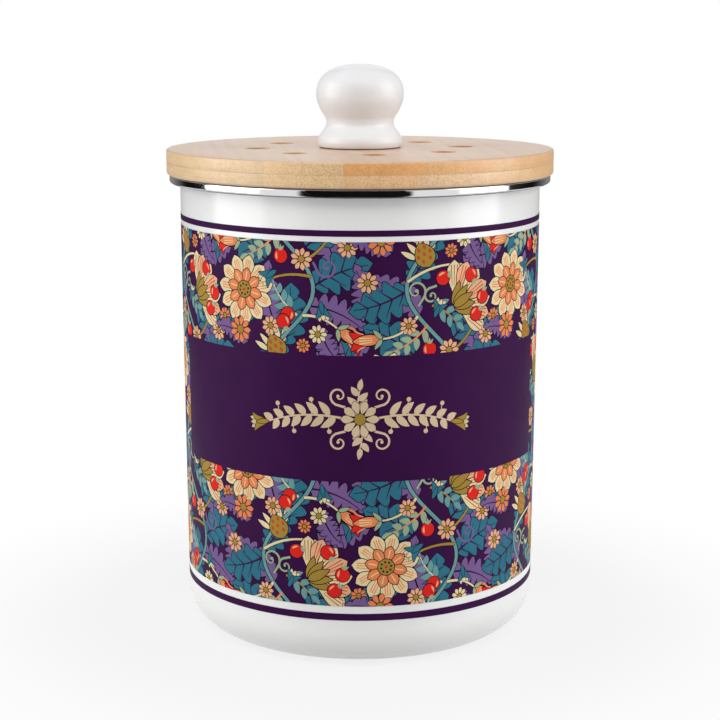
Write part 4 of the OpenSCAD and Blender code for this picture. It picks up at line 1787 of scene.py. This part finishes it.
# ---------------------------------------------------------------- the studio


@dataclass
class Studio:
    """The camera, the floor, the lamps and the dark flags that the gloss reflects.

    Each flag is given as the two angles in degrees that it spans, from the front to the right, and the
    distance in millimetres from which dark cloth lies on the floor before it. Each lamp is given as its
    name, its power in watts, its width and height, and its place.
    """

    camera_at: tuple[float, float, float] = (0.0, -0.7718, 0.2668)
    camera_tilt: float = 79.1
    lens: float = 87.08
    glow: float = 0.42
    dark: tuple[tuple[float, float, float], ...] = ((-34, 29, 130), (93, 165, 640), (-165, -99, 640))
    flag_r: float = 900.0
    flag_h: float = 1300.0
    cloth_z: float = 0.4
    lamps: tuple[tuple[Any, ...], ...] = (
        ("front_box", 8.3, (1.4, 0.8), (0.0, -1.05, 1.45)),
        ("left_box", 10.0, (1.0, 1.1), (-1.2, -0.2, 0.5)),
        ("right_box", 10.0, (1.0, 1.1), (1.2, -0.2, 0.5)))

    def camera(self) -> None:
        """Sets the camera at the photograph's viewing angle."""
        eye = bpy.data.cameras.new("studio_camera")
        eye.lens, eye.sensor_width, eye.clip_start = self.lens, 36.0, 0.01
        seen = bpy.data.objects.new("studio_camera", eye)
        seen.location = self.camera_at
        seen.rotation_euler = (math.radians(self.camera_tilt), 0, 0)
        bpy.context.collection.objects.link(seen)
        bpy.context.scene.camera = seen

    def seen_rays(self, graph: Graph) -> Value:
        """1 for the rays that look at the background straight, in a mirror or through glass."""
        rays = graph.node("ShaderNodeLightPath").outputs
        seen = Value(graph, rays["Is Camera Ray"]) + Value(graph, rays["Is Glossy Ray"])
        return (seen + Value(graph, rays["Is Transmission Ray"])).clamped()

    def world(self) -> None:
        """Sets a white background and an even, softer glow."""
        world = bpy.data.worlds.new("studio")
        world.use_nodes = True
        graph = Graph(world.node_tree)
        world.node_tree.nodes.clear()
        strength = self.seen_rays(graph) * (1 - self.glow) + self.glow
        back = graph.node("ShaderNodeBackground", {}, {"Color": (1, 1, 1, 1), "Strength": strength})
        graph.node("ShaderNodeOutputWorld", {}, {"Surface": back.outputs[0]})
        bpy.context.scene.world = world

    def floor(self) -> None:
        """Makes the pale floor, which fades into the white background."""
        edge = circle(0, 3000.0, 48)
        made = plain_mesh("floor", [(0, 0, 0)] + [(p.real, p.imag, 0) for p in edge],
                          [(0, i, i % 48 + 1) for i in range(1, 49)])
        shader = Shader("floor", Roughness=0.9, Specular_IOR_Level=0.0)
        shader.feed("Base Color", shader.mix(shader.noise(3), (0.55, 0.55, 0.55), (0.58, 0.58, 0.58)))
        white = shader.node("ShaderNodeEmission", {}, {"Color": (1, 1, 1, 1), "Strength": 1.0}).outputs[0]
        share = self.seen_rays(shader) * (shader.radius().between(0.09, 0.24) * 0.18 + 0.82)
        inputs = {0: share, 1: shader.surface.outputs[0], 2: white}
        both = shader.node("ShaderNodeMixShader", {}, inputs).outputs[0]
        shader.node("ShaderNodeOutputMaterial", {"is_active_output": True}, {"Surface": both})
        made.materials.append(shader.material)
        shown = bpy.data.objects.new("floor", made)
        bpy.context.collection.objects.link(shown)

    def flags(self) -> None:
        """Hangs dark flags with dark cloth before them, which only show in reflections."""
        shader = Shader("flag", Roughness=1.0, Specular_IOR_Level=0.0)
        _, back, _ = shader.split(shader.place())
        black = shader.mix(shader.noise(4), (0.004, 0.004, 0.004), (0.012, 0.012, 0.012))
        shader.feed("Base Color", shader.mix(back.between(0.45, 0.8), black, (0.3, 0.3, 0.3)))
        points, faces, steps = [], [], 12
        for start, end, cloth in self.dark:
            for i, way in enumerate(arc(0, 1.0, start - 90, end - 90, steps)):
                near, far, first = cloth * way, self.flag_r * way, len(points)
                for spot, height in ((near, self.cloth_z), (far, self.cloth_z), (far, self.flag_h)):
                    points.append((spot.real, spot.imag, height))
                if i < steps:
                    faces += [(first + k, first + k + 1, first + k + 4, first + k + 3) for k in (0, 1)]
        made = plain_mesh("flags", points, faces)
        made.materials.append(shader.material)
        shown = bpy.data.objects.new("flags", made)
        bpy.context.collection.objects.link(shown)
        shown.visible_camera = shown.visible_diffuse = False
        shown.visible_shadow = shown.visible_transmission = False

    def lamp(self, name: str, power: float, size: tuple[float, float],
             at: tuple[float, float, float]) -> None:
        """Adds a soft box that faces the caddy.

        Args:
            name: Its name.
            power: Its power in watts.
            size: Its width and height.
            at: Where it hangs.
        """
        light = bpy.data.lights.new(name, "AREA")
        light.shape, light.energy = "RECTANGLE", power
        light.size, light.size_y = size
        hung = bpy.data.objects.new(name, light)
        hung.location = at
        hung.rotation_euler = (Vector((0, 0, 0.12)) - Vector(at)).to_track_quat("-Z", "Y").to_euler()
        bpy.context.collection.objects.link(hung)

    def build(self) -> None:
        """Sets up the whole studio."""
        bpy.context.scene.view_settings.view_transform = "Standard"
        self.camera()
        self.world()
        self.floor()
        self.flags()
        for lamp in self.lamps:
            self.lamp(*lamp)


def main() -> None:
    """Builds the studio and the caddy."""
    logging.basicConfig(level=logging.INFO, format="%(name)s: %(message)s")
    Studio().build()
    lathe, pot, board = Lathe(), Canister(), LidBoard()
    steel = Metal.STAINLESS.material()
    pot.build(lathe)
    PrintedBand(pot).build(lathe)
    board.build(lathe)
    Knob().build(lathe, steel)
    FilterHolder(board).build(lathe, steel)


if __name__ == "__main__":
    main()
